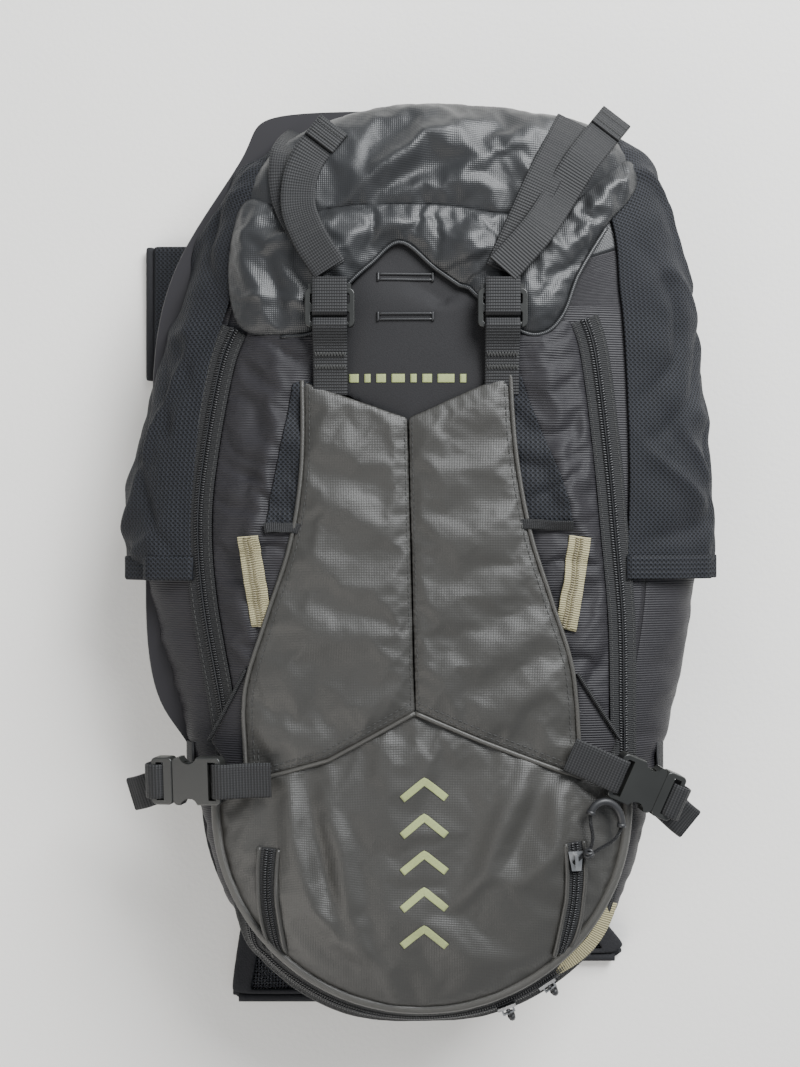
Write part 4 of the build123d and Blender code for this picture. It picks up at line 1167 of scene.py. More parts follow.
class PACK_OT_gussets(PackOperator, bpy.types.Operator):
    """Makes the puffed gussets, inner mesh pockets and pale zips beside the harness"""

    bl_idname = "pack.gussets"
    bl_label = "Gussets"

    drawn_folds = {
        -1: [([(-84, 125), (-77, 78), (-91, 26), (-99, -30)], 7, 4.5),
             ([(-104, 92), (-98, 62), (-106, 20)], 6, 2.6),
             ([(-110, 60), (-88, 44)], 4, -3.0), ([(-116, 8), (-96, -12)], 4, -3.0),
             ([(-104, 118), (-84, 100)], 4, -3.2), ([(-118, -40), (-102, -62)], 4, -2.5)],
        1: [([(70, 122), (80, 84), (84, 40), (98, 8), (112, -30)], 7, 4.5),
            ([(94, 104), (99, 70), (103, 30)], 6, 2.6), ([(100, 92), (78, 68)], 4, -3.0),
            ([(108, 48), (88, 30)], 4, -3.0), ([(112, -4), (94, -24)], 4, -3.0),
            ([(116, -48), (98, -70)], 4, -2.5)],
    }

    def make(self, context):
        form = FORM["bag"]
        for side, name in ((-1, "left"), (1, "right")):
            outer = flow(ZIP_LINE[side][:7], 0.004)
            inner = flow(HARNESS_EDGE[side], 0.004)
            outer = [p + Vector((-side * 0.008, 0)) for p in (q.to_2d() for q in outer)
                     if p.y > -0.108]
            inner = [p.to_2d() + Vector((-side * 0.010, 0)) for p in inner if p.y > -0.100]
            top = Vector((side * 0.052, 0.136))
            outline = outer + list(reversed(inner)) + [top]
            outline = [tuple(p) for p in outline]

            def lift(x, y, edge, side=side):
                puff = 1 - math.exp(-edge / 0.010)
                across = folds(x, y, 3.0 + side, 0.45 * side, 0.017, 1.5)
                small = noise.fractal(Vector((x * 55, y * 40, side)), 1.0, 2.0, 3)
                drawn = crease(x, y, self.drawn_folds[side])
                return 0.0012 + puff * (0.0050 + drawn - 0.0026 * across + 0.0013 * small)

            mesh = draped_mesh(form, outline, 0.0032, lift)
            piece = finish_piece(f"gusset_{name}", mesh, "ribbed_nylon", "pack", "ribbed_nylon",
                                 nodes=("gussets",) if side > 0 else ())
            settle(piece, 14, 0.02)
            thicken(piece, 0.0008, 1)
            FORM[f"gusset_{name}"] = surface_of(piece)
            self.make_inner(form, side, name)

    def make_inner(self, form, side, name):
        """The mesh pocket at the harness edge, and the pale zip below its hem."""
        tree = FORM[f"gusset_{name}"]
        edge = [p.to_2d() for p in flow(HARNESS_EDGE[side], 0.003)]
        strip = [p for p in edge if 0.018 < p.y < 0.110]
        reach = 0.022 if side > 0 else 0.013
        far = [p + Vector((side * reach * smooth_step(0.125, 0.03, p.y) + side * 0.004, 0))
               for p in strip]
        near = [p - Vector((side * 0.010, 0)) for p in strip]
        outline = [tuple(p) for p in far + list(reversed(near))]
        surface = PlainForm(tree, form)

        def lift(x, y, rim):
            return 0.0012 + 0.0006 * noise.noise(Vector((x * 90, y * 60, 1.0)))

        mesh = draped_mesh(surface, outline, 0.003, lift)
        piece = finish_piece(f"inner_mesh_{name}", mesh, "open_mesh", "pack", "open_mesh",
                             nodes=("inner_mesh_pockets",) if side > 0 else ())
        thicken(piece, 0.0007, 1)
        hem = straight([far[-1], near[-1]] if far[-1].y < far[0].y else [far[0], near[0]], 0.002)
        track = Track.laid(surface, hem, 0.0022)
        finish_piece(f"inner_mesh_hem_{name}", ribbon(track, 0.006, 0.0012), "binding", "pack",
                     "webbing")
        ends = {-1: [(-95, 14), (-91, -14), (-87.5, -37)], 1: [(93, 14), (89, -14), (85, -39)]}
        line = flow([Vector(p) for p in scaled(ends[side])], 0.002)
        track = Track.laid(surface, line, 0.0009)
        finish_piece(f"pale_zip_{name}", ribbon(track, 0.0125, 0.0011, sides=8), "trim_tape",
                     "pack", "trim_tape", nodes=("pale_zips",) if side > 0 else ())
        raised = Track([p + n * 0.0009 for p, n in zip(track.places, track.normals)],
                       track.normals)
        teeth = [grains(raised, 0.0014, 0.0022, 0.0009, 0.0011, across=hand * 0.0013,
                        slant=math.pi / 2 + hand * 0.2) for hand in (-1, 1)]
        joined(f"pale_zip_teeth_{name}", teeth, "pale_coil", "pack", "trim_tape")


class PlainForm:
    """A finished piece's surface, with the bag's form beside it."""

    def __init__(self, tree, form):
        self.tree = tree
        self.form = form

    def drop(self, x, y, tree=None):
        hit, normal, _, _ = self.tree.ray_cast(Vector((x, y, 0.4)), Vector((0, 0, -1)))
        below, slope = self.form.drop(x, y)
        if hit is None or hit.z < below.z:
            return below, slope
        if normal.z < 0:
            normal = -normal
        return hit, normal


class Level:
    """A flat surface at a height."""

    def __init__(self, height):
        self.height = height

    def drop(self, x, y, tree=None):
        return Vector((x, y, self.height)), Vector((0, 0, 1))


class PACK_OT_harness(PackOperator, bpy.types.Operator):
    """Makes the harness panel, its piping and stitches, and the stretch panel above it"""

    bl_idname = "pack.harness"
    bl_label = "Harness"

    def make(self, context):
        form = FORM["bag"]
        self.make_stretch_panel(form)
        for side, name in ((-1, "left"), (1, "right")):
            edge = [p.to_2d() for p in flow(HARNESS_EDGE[side], 0.0035)]
            low = [p.to_2d() for p in straight([Vector(p) for p in HARNESS_BASE[side]], 0.0035)]
            seam = straight([Vector(low[-1]), Vector(NOTCH)], 0.0035)
            top = straight([Vector(NOTCH), Vector(edge[0])], 0.0035)
            outline = [tuple(p) for p in edge + low[1:-1] + seam + top[1:-1]]

            def lift(x, y, rim, side=side):
                soft = 1 - math.exp(-rim / 0.010)
                from_seam = abs(x + 0.002)
                seam_dip = 1 - 0.55 * math.exp(-from_seam / 0.003)
                sway = noise.noise(Vector((x * 14, y * 9, side * 5.0)))
                wave = math.sin((y - from_seam * (0.35 + 0.4 * sway)) * 175 + 3.2 * sway + side)
                reach = smooth_step(0.0, 0.022, from_seam) * (0.55 + 0.45 * sway)
                small = noise.fractal(Vector((x * 30, y * 26, side * 2.0)), 1.0, 2.0, 3)
                return 0.0055 + seam_dip * soft * (0.0038 + 0.0013 * wave * reach
                                                   + 0.0016 * small)

            mesh = draped_mesh(form, outline, 0.0033, lift)
            piece = finish_piece(f"harness_panel_{name}", mesh, "harness_cloth", "pack",
                                 "harness_cloth", nodes=(f"harness_{name}",))
            settle(piece, 12, 0.012)
            thicken(piece, 0.0013, 1)
            tree = surface_of(piece)
            FORM[f"harness_{name}"] = tree
            surface = PlainForm(tree, form)
            self.make_wing(form, side, name)
            rim = edge + low[1:]
            track = Track.laid(form, rim, 0.0062, ease=4)
            finish_piece(f"harness_piping_{name}", tube(track.places, 0.0013, 8), "piping",
                         "pack", "harness_cloth")
            rows = []
            for line, inset in ((edge, 0.0036), (low, 0.0036), (low, 0.0062)):
                path = [p for p in shifted(line, inset * side * -1)]
                rows.append(grains(Track.laid(surface, flow(path, 0.0012), 0.0002), 0.0036,
                                   0.0025, 0.00062, 0.0005))
            path = shifted(seam, 0.0022 if side < 0 else -0.0022)
            rows.append(grains(Track.laid(surface, flow(path, 0.0012), 0.0002), 0.0034, 0.0024,
                               0.0005, 0.0004))
            joined(f"harness_stitches_{name}", rows, "thread", "pack", "webbing")

    def make_wing(self, form, side, name):
        """The black cloth that carries the harness's edge to the buckle."""
        outline = scaled({-1: [(-96, -62), (-117, -104), (-108, -118), (-92, -128)],
                          1: [(91, -64), (115, -102), (107, -118), (91, -124)]}[side])
        rim = straight([Vector(p) for p in outline + outline[:1]], 0.003)[:-1]
        mesh = draped_mesh(form, [tuple(p) for p in rim], 0.003,
                           lambda x, y, edge: 0.0042 + 0.0008 * (1 - math.exp(-edge / 0.004)))
        piece = finish_piece(f"harness_wing_{name}", mesh, "ribbed_nylon", "pack",
                             "ribbed_nylon")
        thicken(piece, 0.001, 1)
        line = straight([Vector(outline[0]), Vector(outline[1])], 0.0012)
        finish_piece(f"harness_wing_edge_{name}",
                     tube(Track.laid(form, line, 0.0056).places, 0.0011, 8), "binding", "pack",
                     "webbing")

    def make_stretch_panel(self, form):
        """The matte stretch panel, its two lash slots and a row of plain printed bars."""
        outline = scaled([(-44, 96), (-4.6, 76), (44, 100), (44, 150), (33, 158), (-9, 190),
                          (-36, 158), (-44, 148)])
        rim = [p.to_2d() for p in straight([Vector(p) for p in outline + outline[:1]], 0.004)]

        def lift(x, y, edge):
            return 0.0022 + 0.0016 * (1 - math.exp(-edge / 0.012))

        mesh = draped_mesh(form, [tuple(p) for p in rim[:-1]], 0.004, lift)
        piece = finish_piece("stretch_front", mesh, "stretch_cloth", "pack", "stretch_cloth",
                             nodes=("stretch_panel",))
        thicken(piece, 0.001, 1)
        surface = PlainForm(surface_of(piece), form)
        welts = []
        for y in (0.1615, 0.1385):
            line = straight([Vector((-0.0215, y)), Vector((0.0095, y))], 0.002)
            for offset in (-0.0016, 0.0016):
                track = Track.laid(surface, [p + Vector((0, offset)) for p in line], 0.0003)
                welts.append(tube(track.places, 0.0008, 8))
            for x in (-0.0215, 0.0095):
                track = Track.laid(surface, straight([Vector((x, y - 0.0026)),
                                                      Vector((x, y + 0.0026))], 0.001), 0.0005)
                welts.append(tube(track.places, 0.0008, 8))
        joined("lash_slots", welts, "grip_rubber", "pack", "webbing")
        bars = []
        widths = (0.0055, 0.0035, 0.0055, 0.0075, 0.0035, 0.0055, 0.0095, 0.0035)
        x = -0.038
        for width in widths:
            track = Track.laid(surface, straight([Vector((x, 0.1035)), Vector((x + width, 0.1035))],
                                                 0.001), 0.0002)
            bars.append(ribbon(track, 0.0048, 0.00035, sides=3))
            x += width + 0.0032
        joined("printed_bars", bars, "print_ink", "pack", "stretch_cloth")


class PACK_OT_base_flap(PackOperator, bpy.types.Operator):
    """Makes the crumpled coated flap over the base, and the blank label in its seam"""

    bl_idname = "pack.base_flap"
    bl_label = "Base flap"

    drawn_folds = [
        ([(-96, 196), (-97, 170), (-88, 142)], 6, 3.5), ([(-84, 176), (-74, 140)], 5, -3.0),
        ([(-30, 190), (-52, 160)], 6, 3.2), ([(-2, 196), (-22, 176)], 6, 2.6),
        ([(22, 192), (34, 166)], 6, 3.0), ([(46, 188), (58, 150)], 5, -3.0),
        ([(70, 138), (92, 160)], 6, 4.0), ([(84, 178), (116, 196)], 5, 4.2),
        ([(78, 160), (104, 180)], 4, -3.4), ([(92, 196), (122, 222)], 5, 3.4),
    ]
    cap_folds = [
        ([(-46, 201), (-22, 221), (6, 240), (44, 252)], 6, 5.0),
        ([(-40, 202), (4, 212), (54, 214)], 6, 2.6), ([(-30, 205), (6, 224), (50, 234)], 5, -3.6),
        ([(20, 222), (62, 242), (84, 254)], 7, 4.2), ([(58, 204), (72, 214), (60, 224)], 4, 4.0),
        ([(92, 212), (112, 234)], 6, 4.0), ([(84, 218), (100, 240)], 4, -3.0),
        ([(-90, 212), (-72, 240)], 6, 3.6), ([(-78, 206), (-58, 238)], 4, -3.0),
    ]

    def make(self, context):
        form = FORM["bag"]
        outline = scaled([
            (-96, 208), (-66, 199), (-34, 203), (14, 203), (53, 198), (86, 203), (122, 232),
            (126, 214), (108, 190), (92, 163), (83, 140), (72, 129), (57, 131), (32, 151),
            (11, 166), (-9, 181), (-26, 168), (-41, 153), (-55, 131), (-76, 127), (-98, 131),
            (-106, 150), (-106, 180),
        ])
        rim = [p.to_2d() for p in flow(outline, 0.0035, closed=True)]

        def lift(x, y, edge):
            soft = 1 - math.exp(-edge / 0.009)
            pucker = folds(x, y, 5.0, math.pi / 2 + 0.12 * math.sin(x * 60), 0.015, 1.5)
            near_seam = smooth_step(0.165, 0.199, y)
            crumple = folds(x, y, 9.0, 0.7, 0.022, 1.4) * folds(x, y, 11.0, -0.6, 0.026, 1.2)
            small = noise.fractal(Vector((x * 48, y * 48, 4.0)), 1.0, 2.0, 3)
            drawn = crease(x, y, self.drawn_folds)
            return 0.004 + soft * (0.0058 + drawn - 0.0036 * pucker * near_seam
                                   + 0.0034 * crumple + 0.0016 * small)

        mesh = draped_mesh(form, [tuple(p) for p in rim], 0.0030, lift)
        piece = finish_piece("flap", mesh, "coated_ripstop", "pack", "coated_ripstop",
                             nodes=("base_flap",))
        settle(piece, 16, 0.03)
        thicken(piece, 0.0011, 1)
        FORM["flap"] = surface_of(piece)
        lower = [p for p in flow(outline[8:17] + outline[17:20], 0.003)]
        track = Track.laid(form, [p.to_2d() for p in lower], 0.0052, ease=4)
        finish_piece("base_flap_edge", tube(track.places, 0.0012, 8), "coated_ripstop", "pack",
                     "coated_ripstop")
        self.make_cap(form)
        self.make_trim(form)
        label_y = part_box("trim_tapes")[1].y
        mesh = bmesh.new()
        spots = [(0.002, label_y - 0.012), (0.018, label_y - 0.012), (0.0185, label_y),
                 (0.0015, label_y)]
        verts = [mesh.verts.new((x, y, 0.0225)) for x, y in spots]
        mesh.faces.new(verts)
        mesh.loops.layers.uv.new("cloth")
        bmesh.ops.subdivide_edges(mesh, edges=mesh.edges, cuts=6, use_grid_fill=True)
        for vert in mesh.verts:
            vert.co.z += 0.0012 * math.sin((vert.co.x - 0.002) * 190)
        piece = finish_piece("blank_label", mesh, "trim_tape", "pack", "trim_tape",
                             nodes=("trim_tapes",))
        thicken(piece, 0.0009)

    def make_trim(self, form):
        """The pale tape over the main zip's outer edge, above the reservoir's mouth."""
        line = []
        normals = []
        for k in range(30):
            turn = math.radians(lerp(-52, -28, k / 29))
            out = Vector((math.cos(turn), math.sin(turn)))
            spread = math.sin(math.pi * k / 29)
            level = form.drop(0.0035 + out.x * 0.1225, -0.140 + out.y * 0.1205)[0].z
            line.append(Vector((0.0035 + out.x * (0.1230 + 0.0035 * spread),
                                -0.140 + out.y * (0.1210 + 0.0035 * spread), level + 0.0012)))
            normals.append(Vector((out.x * 0.55, out.y * 0.55, 0.84)))
        finish_piece("trim_band", ribbon(Track(line, normals), 0.0105, 0.0010, sides=6),
                     "trim_tape", "pack", "trim_tape")

    def make_cap(self, form):
        """The smooth upper part, between the flap's seam and the base."""
        outline = scaled([(-101, 208), (-66, 196), (-34, 200), (14, 200), (53, 195), (86, 200),
                          (125, 226), (120, 243), (98, 256), (56, 264), (8, 267), (-26, 264),
                          (-62, 253), (-92, 231)])
        rim = [p.to_2d() for p in flow(outline, 0.004, closed=True)]

        def lift(x, y, edge):
            soft = 1 - math.exp(-edge / 0.010)
            small = noise.fractal(Vector((x * 36, y * 36, 14.0)), 1.0, 2.0, 3)
            return 0.0012 + soft * (0.0052 + crease(x, y, self.cap_folds) + 0.0012 * small)

        mesh = draped_mesh(form, [tuple(p) for p in rim], 0.0034, lift, seed=3)
        piece = finish_piece("base_cap", mesh, "coated_ripstop", "pack", "coated_ripstop")
        settle(piece, 12, 0.02)
        thicken(piece, 0.0011, 1)
        FORM["cap"] = surface_of(piece)


class PACK_OT_front_pocket(PackOperator, bpy.types.Operator):
    """Makes the front pocket, its rim piping, curved zip and printed marks"""

    bl_idname = "pack.front_pocket"
    bl_label = "Front pocket"

    drawn_folds = [
        ([(-71, -122), (-69, -157), (-59, -182), (-42, -210), (-30, -219), (-18, -231)], 7, 4.6),
        ([(-51, -132), (-41, -163), (-38, -198), (-28, -215)], 7, 3.8),
        ([(-62, -130), (-54, -160), (-48, -190), (-38, -208)], 5, -2.8),
        ([(-14, -232), (-12, -250)], 7, 2.4),
        ([(64, -118), (48, -149), (39, -174), (23, -190)], 8, 4.2),
        ([(90, -122), (80, -135), (77, -163), (56, -182)], 7, 4.2),
        ([(74, -118), (64, -146), (52, -170)], 6, -3.0),
        ([(10, -205), (30, -222), (60, -226)], 9, 2.2),
    ]

    def make(self, context):
        form = FORM["bag"]
        rim_line = []
        for k in range(0, 29):
            turn = math.radians(lerp(8, -188, k / 28))
            rim_line.append((0.0035 + 0.1165 * math.cos(turn), -0.140 + 0.1150 * math.sin(turn)))
        top = [Vector((-0.097, -0.122)), Vector((-0.049, -0.106)), Vector((-0.0006, -0.080)),
               Vector((0.037, -0.096)), Vector((0.096, -0.118))]
        outline = [Vector(p) for p in rim_line] + top
        rim = straight(outline + outline[:1], 0.0035)[:-1]

        def lift(x, y, edge):
            soft = 1 - math.exp(-edge / 0.012)
            wide = noise.fractal(Vector((x * 22, y * 22, 8.0)), 1.0, 2.0, 3)
            return 0.002 + soft * (0.0062 + crease(x, y, self.drawn_folds) + 0.0016 * wide)

        mesh = draped_mesh(form, [tuple(p) for p in rim], 0.0034, lift, seed=5)
        piece = finish_piece("pocket_front", mesh, "harness_cloth", "pack", "harness_cloth",
                             nodes=("front_pocket",))
        settle(piece, 16, 0.02)
        thicken(piece, 0.0012, 1)
        tree = surface_of(piece)
        surface = PlainForm(tree, form)
        FORM["pocket"] = tree
        track = Track.laid(form, flow([Vector(p) for p in rim_line], 0.003), 0.0034, ease=6)
        finish_piece("round_piping", tube(track.places, 0.0031, 12), "piping", "pack",
                     "harness_cloth", nodes=("rim_piping",))
        self.make_zip(surface)
        self.make_marks(surface)

    def make_zip(self, surface):
        centre = Vector((-0.055, -0.176))
        radius = 0.145
        arm = []
        for k in range(9):
            turn = math.radians(lerp(7, -19, k / 8))
            arm.append(centre + Vector((math.cos(turn), math.sin(turn))) * radius)
        mirror = [Vector((0.006 - p.x, p.y - 0.004)) for p in arm]
        tapes, teeth, lips = [], [], []
        for line in (arm, mirror):
            track = Track.laid(surface, flow(line, 0.0015), 0.0004, ease=10)
            tapes.append(ribbon(track, 0.011, 0.0011, sides=6))
            raised = Track([p + n * 0.0009 for p, n in zip(track.places, track.normals)],
                           track.normals)
            teeth += [grains(raised, 0.0014, 0.0021, 0.0010, 0.0012, across=hand * 0.0013,
                             slant=math.pi / 2 + hand * 0.2) for hand in (-1, 1)]
            for hand in (-1, 1):
                lips.append(tube([p + track.way(k).cross(n).normalized() * hand * 0.0056
                                  + n * 0.0005 for k, (p, n) in
                                  enumerate(zip(track.places, track.normals))], 0.0014, 8))
        joined("pocket_zip_tape", tapes, "binding", "pack", "zip_coil", nodes=("pocket_zip",))
        joined("pocket_zip_teeth", teeth, "zip_coil", "pack", "zip_coil")
        joined("pocket_zip_lips", lips, "harness_cloth", "pack", "harness_cloth")

    def make_marks(self, surface):
        """A column of plain chevrons where a maker would print a mark."""
        marks = []
        for k in range(5):
            y = -0.128 - 0.0205 * k
            size = 0.0125
            line = straight([Vector((0.0045 - size, y - 0.006)), Vector((0.0045, y + 0.004)),
                             Vector((0.0045 + size, y - 0.006))], 0.0012)
            track = Track.laid(surface, line, 0.0003)
            marks.append(ribbon(track, 0.0042, 0.00035, sides=4))
        joined("printed_chevrons", marks, "print_ink", "pack", "harness_cloth")


class PACK_OT_side_pockets(PackOperator, bpy.types.Operator):
    """Makes the stretch mesh pockets on the pack's sides"""

    bl_idname = "pack.side_pockets"
    bl_label = "Side pockets"

    def make(self, context):
        form = FORM["bag"]
        for side, name in ((-1, "left"), (1, "right")):
            hem = form.index_at(side, -0.004)
            tip = form.index_at(side, 0.252 if side > 0 else 0.248)
            first, last = (tip, hem) if side > 0 else (hem, tip)
            if last < first:
                last += form.count
            low, high = (38.0, 138.0) if side > 0 else (47.0, 138.0)

            def lift(c, r, side=side):
                along = c if side > 0 else 1 - c
                open_end = smooth_step(0.5, 1.0, along)
                ease = min(1.0, 7 * min(r, 1 - r, along + 0.02))
                drape = noise.fractal(Vector((c * 5.5, r * 2.6, side * 4.0)), 1.0, 2.0, 3)
                fold = folds(c * 0.26, r * 0.13, 30.0 + side, 0.6 * side, 0.026, 1.4)
                waist = folds(c * 0.26, r * 0.13, 36.0 + side, -0.5 * side, 0.034, 1.4)
                return 0.0024 + ease * (0.0030 + 0.0046 * open_end * math.sin(math.pi * r)
                                        + 0.0022 * drape + 0.0044 * fold - 0.0036 * waist)

            mesh = form.patch_mesh(first, last, low, high, 46, lift)
            piece = finish_piece(f"mesh_pocket_{name}", mesh, "open_mesh", "pack", "open_mesh",
                                 nodes=(f"outer_mesh_{name}",))
            thicken(piece, 0.0008, 1)
            line = []
            normals = []
            edge = form.rim[hem % form.count]
            out = (edge - form.middle(edge)).normalized()
            for r in range(47):
                angle = lerp(low, high, r / 46)
                turn = math.radians(angle)
                line.append(form.point(hem, angle, lift(1.0 if side > 0 else 0.0, r / 46)
                                       + 0.0002))
                normals.append(Vector((out.x * math.sin(turn), out.y * math.sin(turn),
                                       math.cos(turn))).normalized())
            hem_track = Track(line, normals)
            hem_piece = finish_piece(f"mesh_pocket_hem_{name}",
                                     ribbon(hem_track, 0.014, 0.0020, sides=5), "open_mesh",
                                     "pack", "open_mesh")


class PACK_OT_straps(PackOperator, bpy.types.Operator):
    """Makes the webbing: upper straps, ladder-lock loops, side straps and their ends"""

    bl_idname = "pack.straps"
    bl_label = "Straps"

    rib = 0.0017

    def make(self, context):
        form = FORM["bag"]
        self.make_upper(form)
        self.make_locks(form)
        self.make_sides(form)

    def track_of(self, spots, normals=None, spacing=0.0004):
        """A track through a few points, with a way up for each stretch."""
        line = flow(spots, spacing)
        if normals is None:
            ups = [Vector((0, 0, 1))] * len(line)
        else:
            ups = [p.normalized() for p in flow(normals, 1.0)] if False else []
            spans = len(normals) - 1
            for k in range(len(line)):
                t = k / (len(line) - 1) * spans
                j = min(spans - 1, int(t))
                ups.append(Vector(normals[j]).lerp(Vector(normals[j + 1]), t - j).normalized())
        return Track(line, ups)

    def make_upper(self, form):
        flap = FORM["flap"]
        cap = FORM["cap"]

        def over(x, y, extra):
            heights = [form.drop(x, y)[0].z]
            for tree in (flap, cap):
                hit = tree.ray_cast(Vector((x, y, 0.4)), Vector((0, 0, -1)))[0]
                if hit:
                    heights.append(hit.z)
            return Vector((x, y, max(heights) + extra))

        lock_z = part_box("ladder_lock_left")[0].z
        for side, name in ((-1, "left"), (1, "right")):
            x = side * 0.0485
            start = Vector((x, 0.1635, lock_z - 0.0011))
            tail_start = Vector((x, 0.1635, lock_z + 0.0052))
            if side < 0:
                low = [start, over(-0.061, 0.183, 0.0016), over(-0.073, 0.208, 0.0016),
                       over(-0.074, 0.234, 0.0016), over(-0.066, 0.254, 0.002)]
                tail = [tail_start, over(-0.060, 0.182, 0.0066), over(-0.067, 0.204, 0.0060),
                        over(-0.063, 0.228, 0.0054), Vector((-0.047, 0.250, 0.0960))]
            else:
                low = [start, over(0.059, 0.187, 0.0016), over(0.071, 0.214, 0.0016),
                       over(0.083, 0.238, 0.0016), over(0.091, 0.254, 0.002)]
                tail = [tail_start, over(0.068, 0.186, 0.0066), over(0.082, 0.208, 0.0060),
                        over(0.096, 0.230, 0.0054), Vector((0.1165, 0.257, 0.0880))]
            low_track = self.track_of(low)
            tail_track = self.track_of(tail)
            end = tail_track.places[-1]
            way = tail_track.way(len(tail_track.places) - 1)
            fold = Track([end + way * d * 0.001 + Vector((0, 0, 0.0016)) for d in range(-14, 1)],
                         [Vector((0, 0, 1))] * 15)
            stitches = []
            for d in (0.004, 0.010):
                centre = end - way * d + Vector((0, 0, 0.0026))
                cross = way.cross(Vector((0, 0, 1))).normalized()
                row = Track([centre + cross * lerp(-0.0085, 0.0085, k / 30) for k in range(31)],
                            [Vector((0, 0, 1))] * 31)
                stitches.append(grains(row, 0.0022, 0.0018, 0.0005, 0.0005))
            joined(f"top_webbing_{name}",
                   [ribbon(low_track, 0.0198, 0.0015, self.rib, 8),
                    ribbon(tail_track, 0.0198, 0.0015, self.rib, 8),
                    ribbon(fold, 0.0198, 0.0015, self.rib, 8)],
                   "webbing", "pack", "webbing", nodes=(f"upper_strap_{name}",))
            joined(f"upper_strap_stitches_{name}", stitches, "thread", "pack", "webbing")

    def make_locks(self, form):
        """The webbing through each ladder-lock, and the loop that ties the lock to the harness."""
        loops = []
        tacks = []
        for side, name in ((-1, "left"), (1, "right")):
            low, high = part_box(f"ladder_lock_{name}")
            x = side * 0.0485
            middle_z = (low.z + high.z) / 2
            up = Vector((0, 0, 1))
            profile = [(0.1565, -0.0030), (0.1480, -0.0031), (0.1400, -0.0029),
                       (0.1383, -0.0012), (0.1383, 0.0012), (0.1400, 0.0031), (0.1480, 0.0032),
                       (0.1590, 0.0030)]
            spots = [Vector((x, y, middle_z + z)) for y, z in profile]
            normals = [Vector((0, 0, -1)), Vector((0, 0, -1)), Vector((0, -0.3, -1)),
                       Vector((0, -1, -0.3)), Vector((0, -1, 0.3)), Vector((0, -0.3, 1)),
                       Vector((0, 0, 1)), Vector((0, 0, 1))]
            track = self.track_of(spots, normals)
            finish_piece(f"threaded_webbing_{name}", ribbon(track, 0.0198, 0.0014, self.rib, 8),
                         "webbing", f"ladder_lock_{name}", "webbing",
                         nodes=(f"ladder_thread_{name}",))
            base = form.drop(x, 0.100)[0].z
            bar = Vector((x, low.y + 0.0022, middle_z))
            ring = [Vector((x, 0.094, base + 0.0030)), Vector((x, 0.106, base + 0.0050)),
                    Vector((x, 0.120, base + 0.0066)), bar + Vector((0, -0.001, -0.0031)),
                    bar + Vector((0, 0.0032, 0.0)), bar + Vector((0, -0.001, 0.0031)),
                    Vector((x, 0.121, base + 0.0096)), Vector((x, 0.108, base + 0.0070)),
                    Vector((x, 0.094, base + 0.0046))]
            normals = [Vector((0, 0, -1))] * 3 + [Vector((0, 0.3, -1)), Vector((0, 1, 0)),
                                                 Vector((0, 0.3, 1))] + [Vector((0, 0, 1))] * 3
            track = self.track_of(ring, normals)
            loops.append(ribbon(track, 0.0196, 0.0014, self.rib, 8))
            for y, height in ((0.1095, 0.0083), (0.1165, 0.0099)):
                row = Track([Vector((x + lerp(-0.0088, 0.0088, k / 40),
                                     y + 0.0011 * (1 if k % 4 < 2 else -1), base + height))
                             for k in range(41)], [up] * 41)
                tacks.append(tube(row.places, 0.00032, 5))
        joined("lock_loops", loops, "webbing", "pack", "webbing", nodes=("ladder_loops",))
        joined("lock_loop_tacks", tacks, "thread", "pack", "webbing")

    def make_sides(self, form):
        """The webbing at the side buckles."""
        fixed = []
        for side, name in ((-1, "left"), (1, "right")):
            low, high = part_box(f"buckle_socket_{name}")
            joint = [j for j in frame["joints"] if j["name"] == f"buckle_release_{name}"][0]
            way = Vector(joint["axis"]).normalized()
            cross = way.cross(Vector((0, 0, 1))).normalized()
            up = cross.cross(way).normalized()
            t_low, t_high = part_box(f"buckle_tongue_{name}")
            centre = (low + high) / 2
            inner = centre - way * 0.0118
            spots = [centre - way * 0.0105 + up * -0.0035, inner + up * 0.0030 + way * 0.0022,
                     inner + up * 0.0052 - way * 0.001, inner - way * 0.006 + up * 0.0042,
                     inner - way * 0.017 - up * 0.001, inner - way * 0.030 - up * 0.004]
            normals = [-way, -way + up, up, up, up, up]
            track = self.track_of(spots, normals)
            fixed.append(ribbon(track, 0.0196, 0.0015, self.rib, 8))
            t_centre = (t_low + t_high) / 2
            outer = t_centre + way * 0.0125
            spots = [outer - way * 0.0052 - up * 0.002, outer - way * 0.0040 + up * 0.0040,
                     outer + way * 0.0015 + up * 0.0055, outer + way * 0.0062 + up * 0.0020,
                     outer + way * 0.0072 - up * 0.0050, outer + way * 0.0050 - up * 0.0125,
                     outer + way * 0.0000 - up * 0.0180]
            normals = [-way, -way + up, up, way + up, way, way - up * 0.3, way - up * 0.6]
            track = self.track_of(spots, normals)
            meshes = [ribbon(track, 0.0196, 0.0015, self.rib, 8)]
            flag = [outer + way * 0.0010 - up * 0.0075 + cross * side * 0.004,
                    outer + way * 0.0130 - up * 0.0070 + cross * side * 0.008,
                    outer + way * 0.0210 - up * 0.0090 + cross * side * 0.010]
            track = self.track_of(flag)
            meshes.append(ribbon(track, 0.0196, 0.0028, self.rib, 8))
            joined(f"buckle_tail_{name}", meshes, "webbing", f"buckle_{name}", "webbing",
                   nodes=(f"tongue_strap_{name}",))
            index = form.index_at(side, -0.118)
            line = [form.point(index, a, 0.0022) for a in range(70, 146, 3)]
            edge = form.rim[index]
            out = (edge - form.middle(edge)).normalized()
            normals = [Vector((out.x, out.y, math.cos(math.radians(a)))).normalized()
                       for a in range(70, 146, 3)]
            fixed.append(ribbon(self.track_of(line, normals), 0.0196, 0.0015, self.rib, 8))
        joined("buckle_webbing", fixed, "webbing", "pack", "webbing", nodes=("side_webbing",))


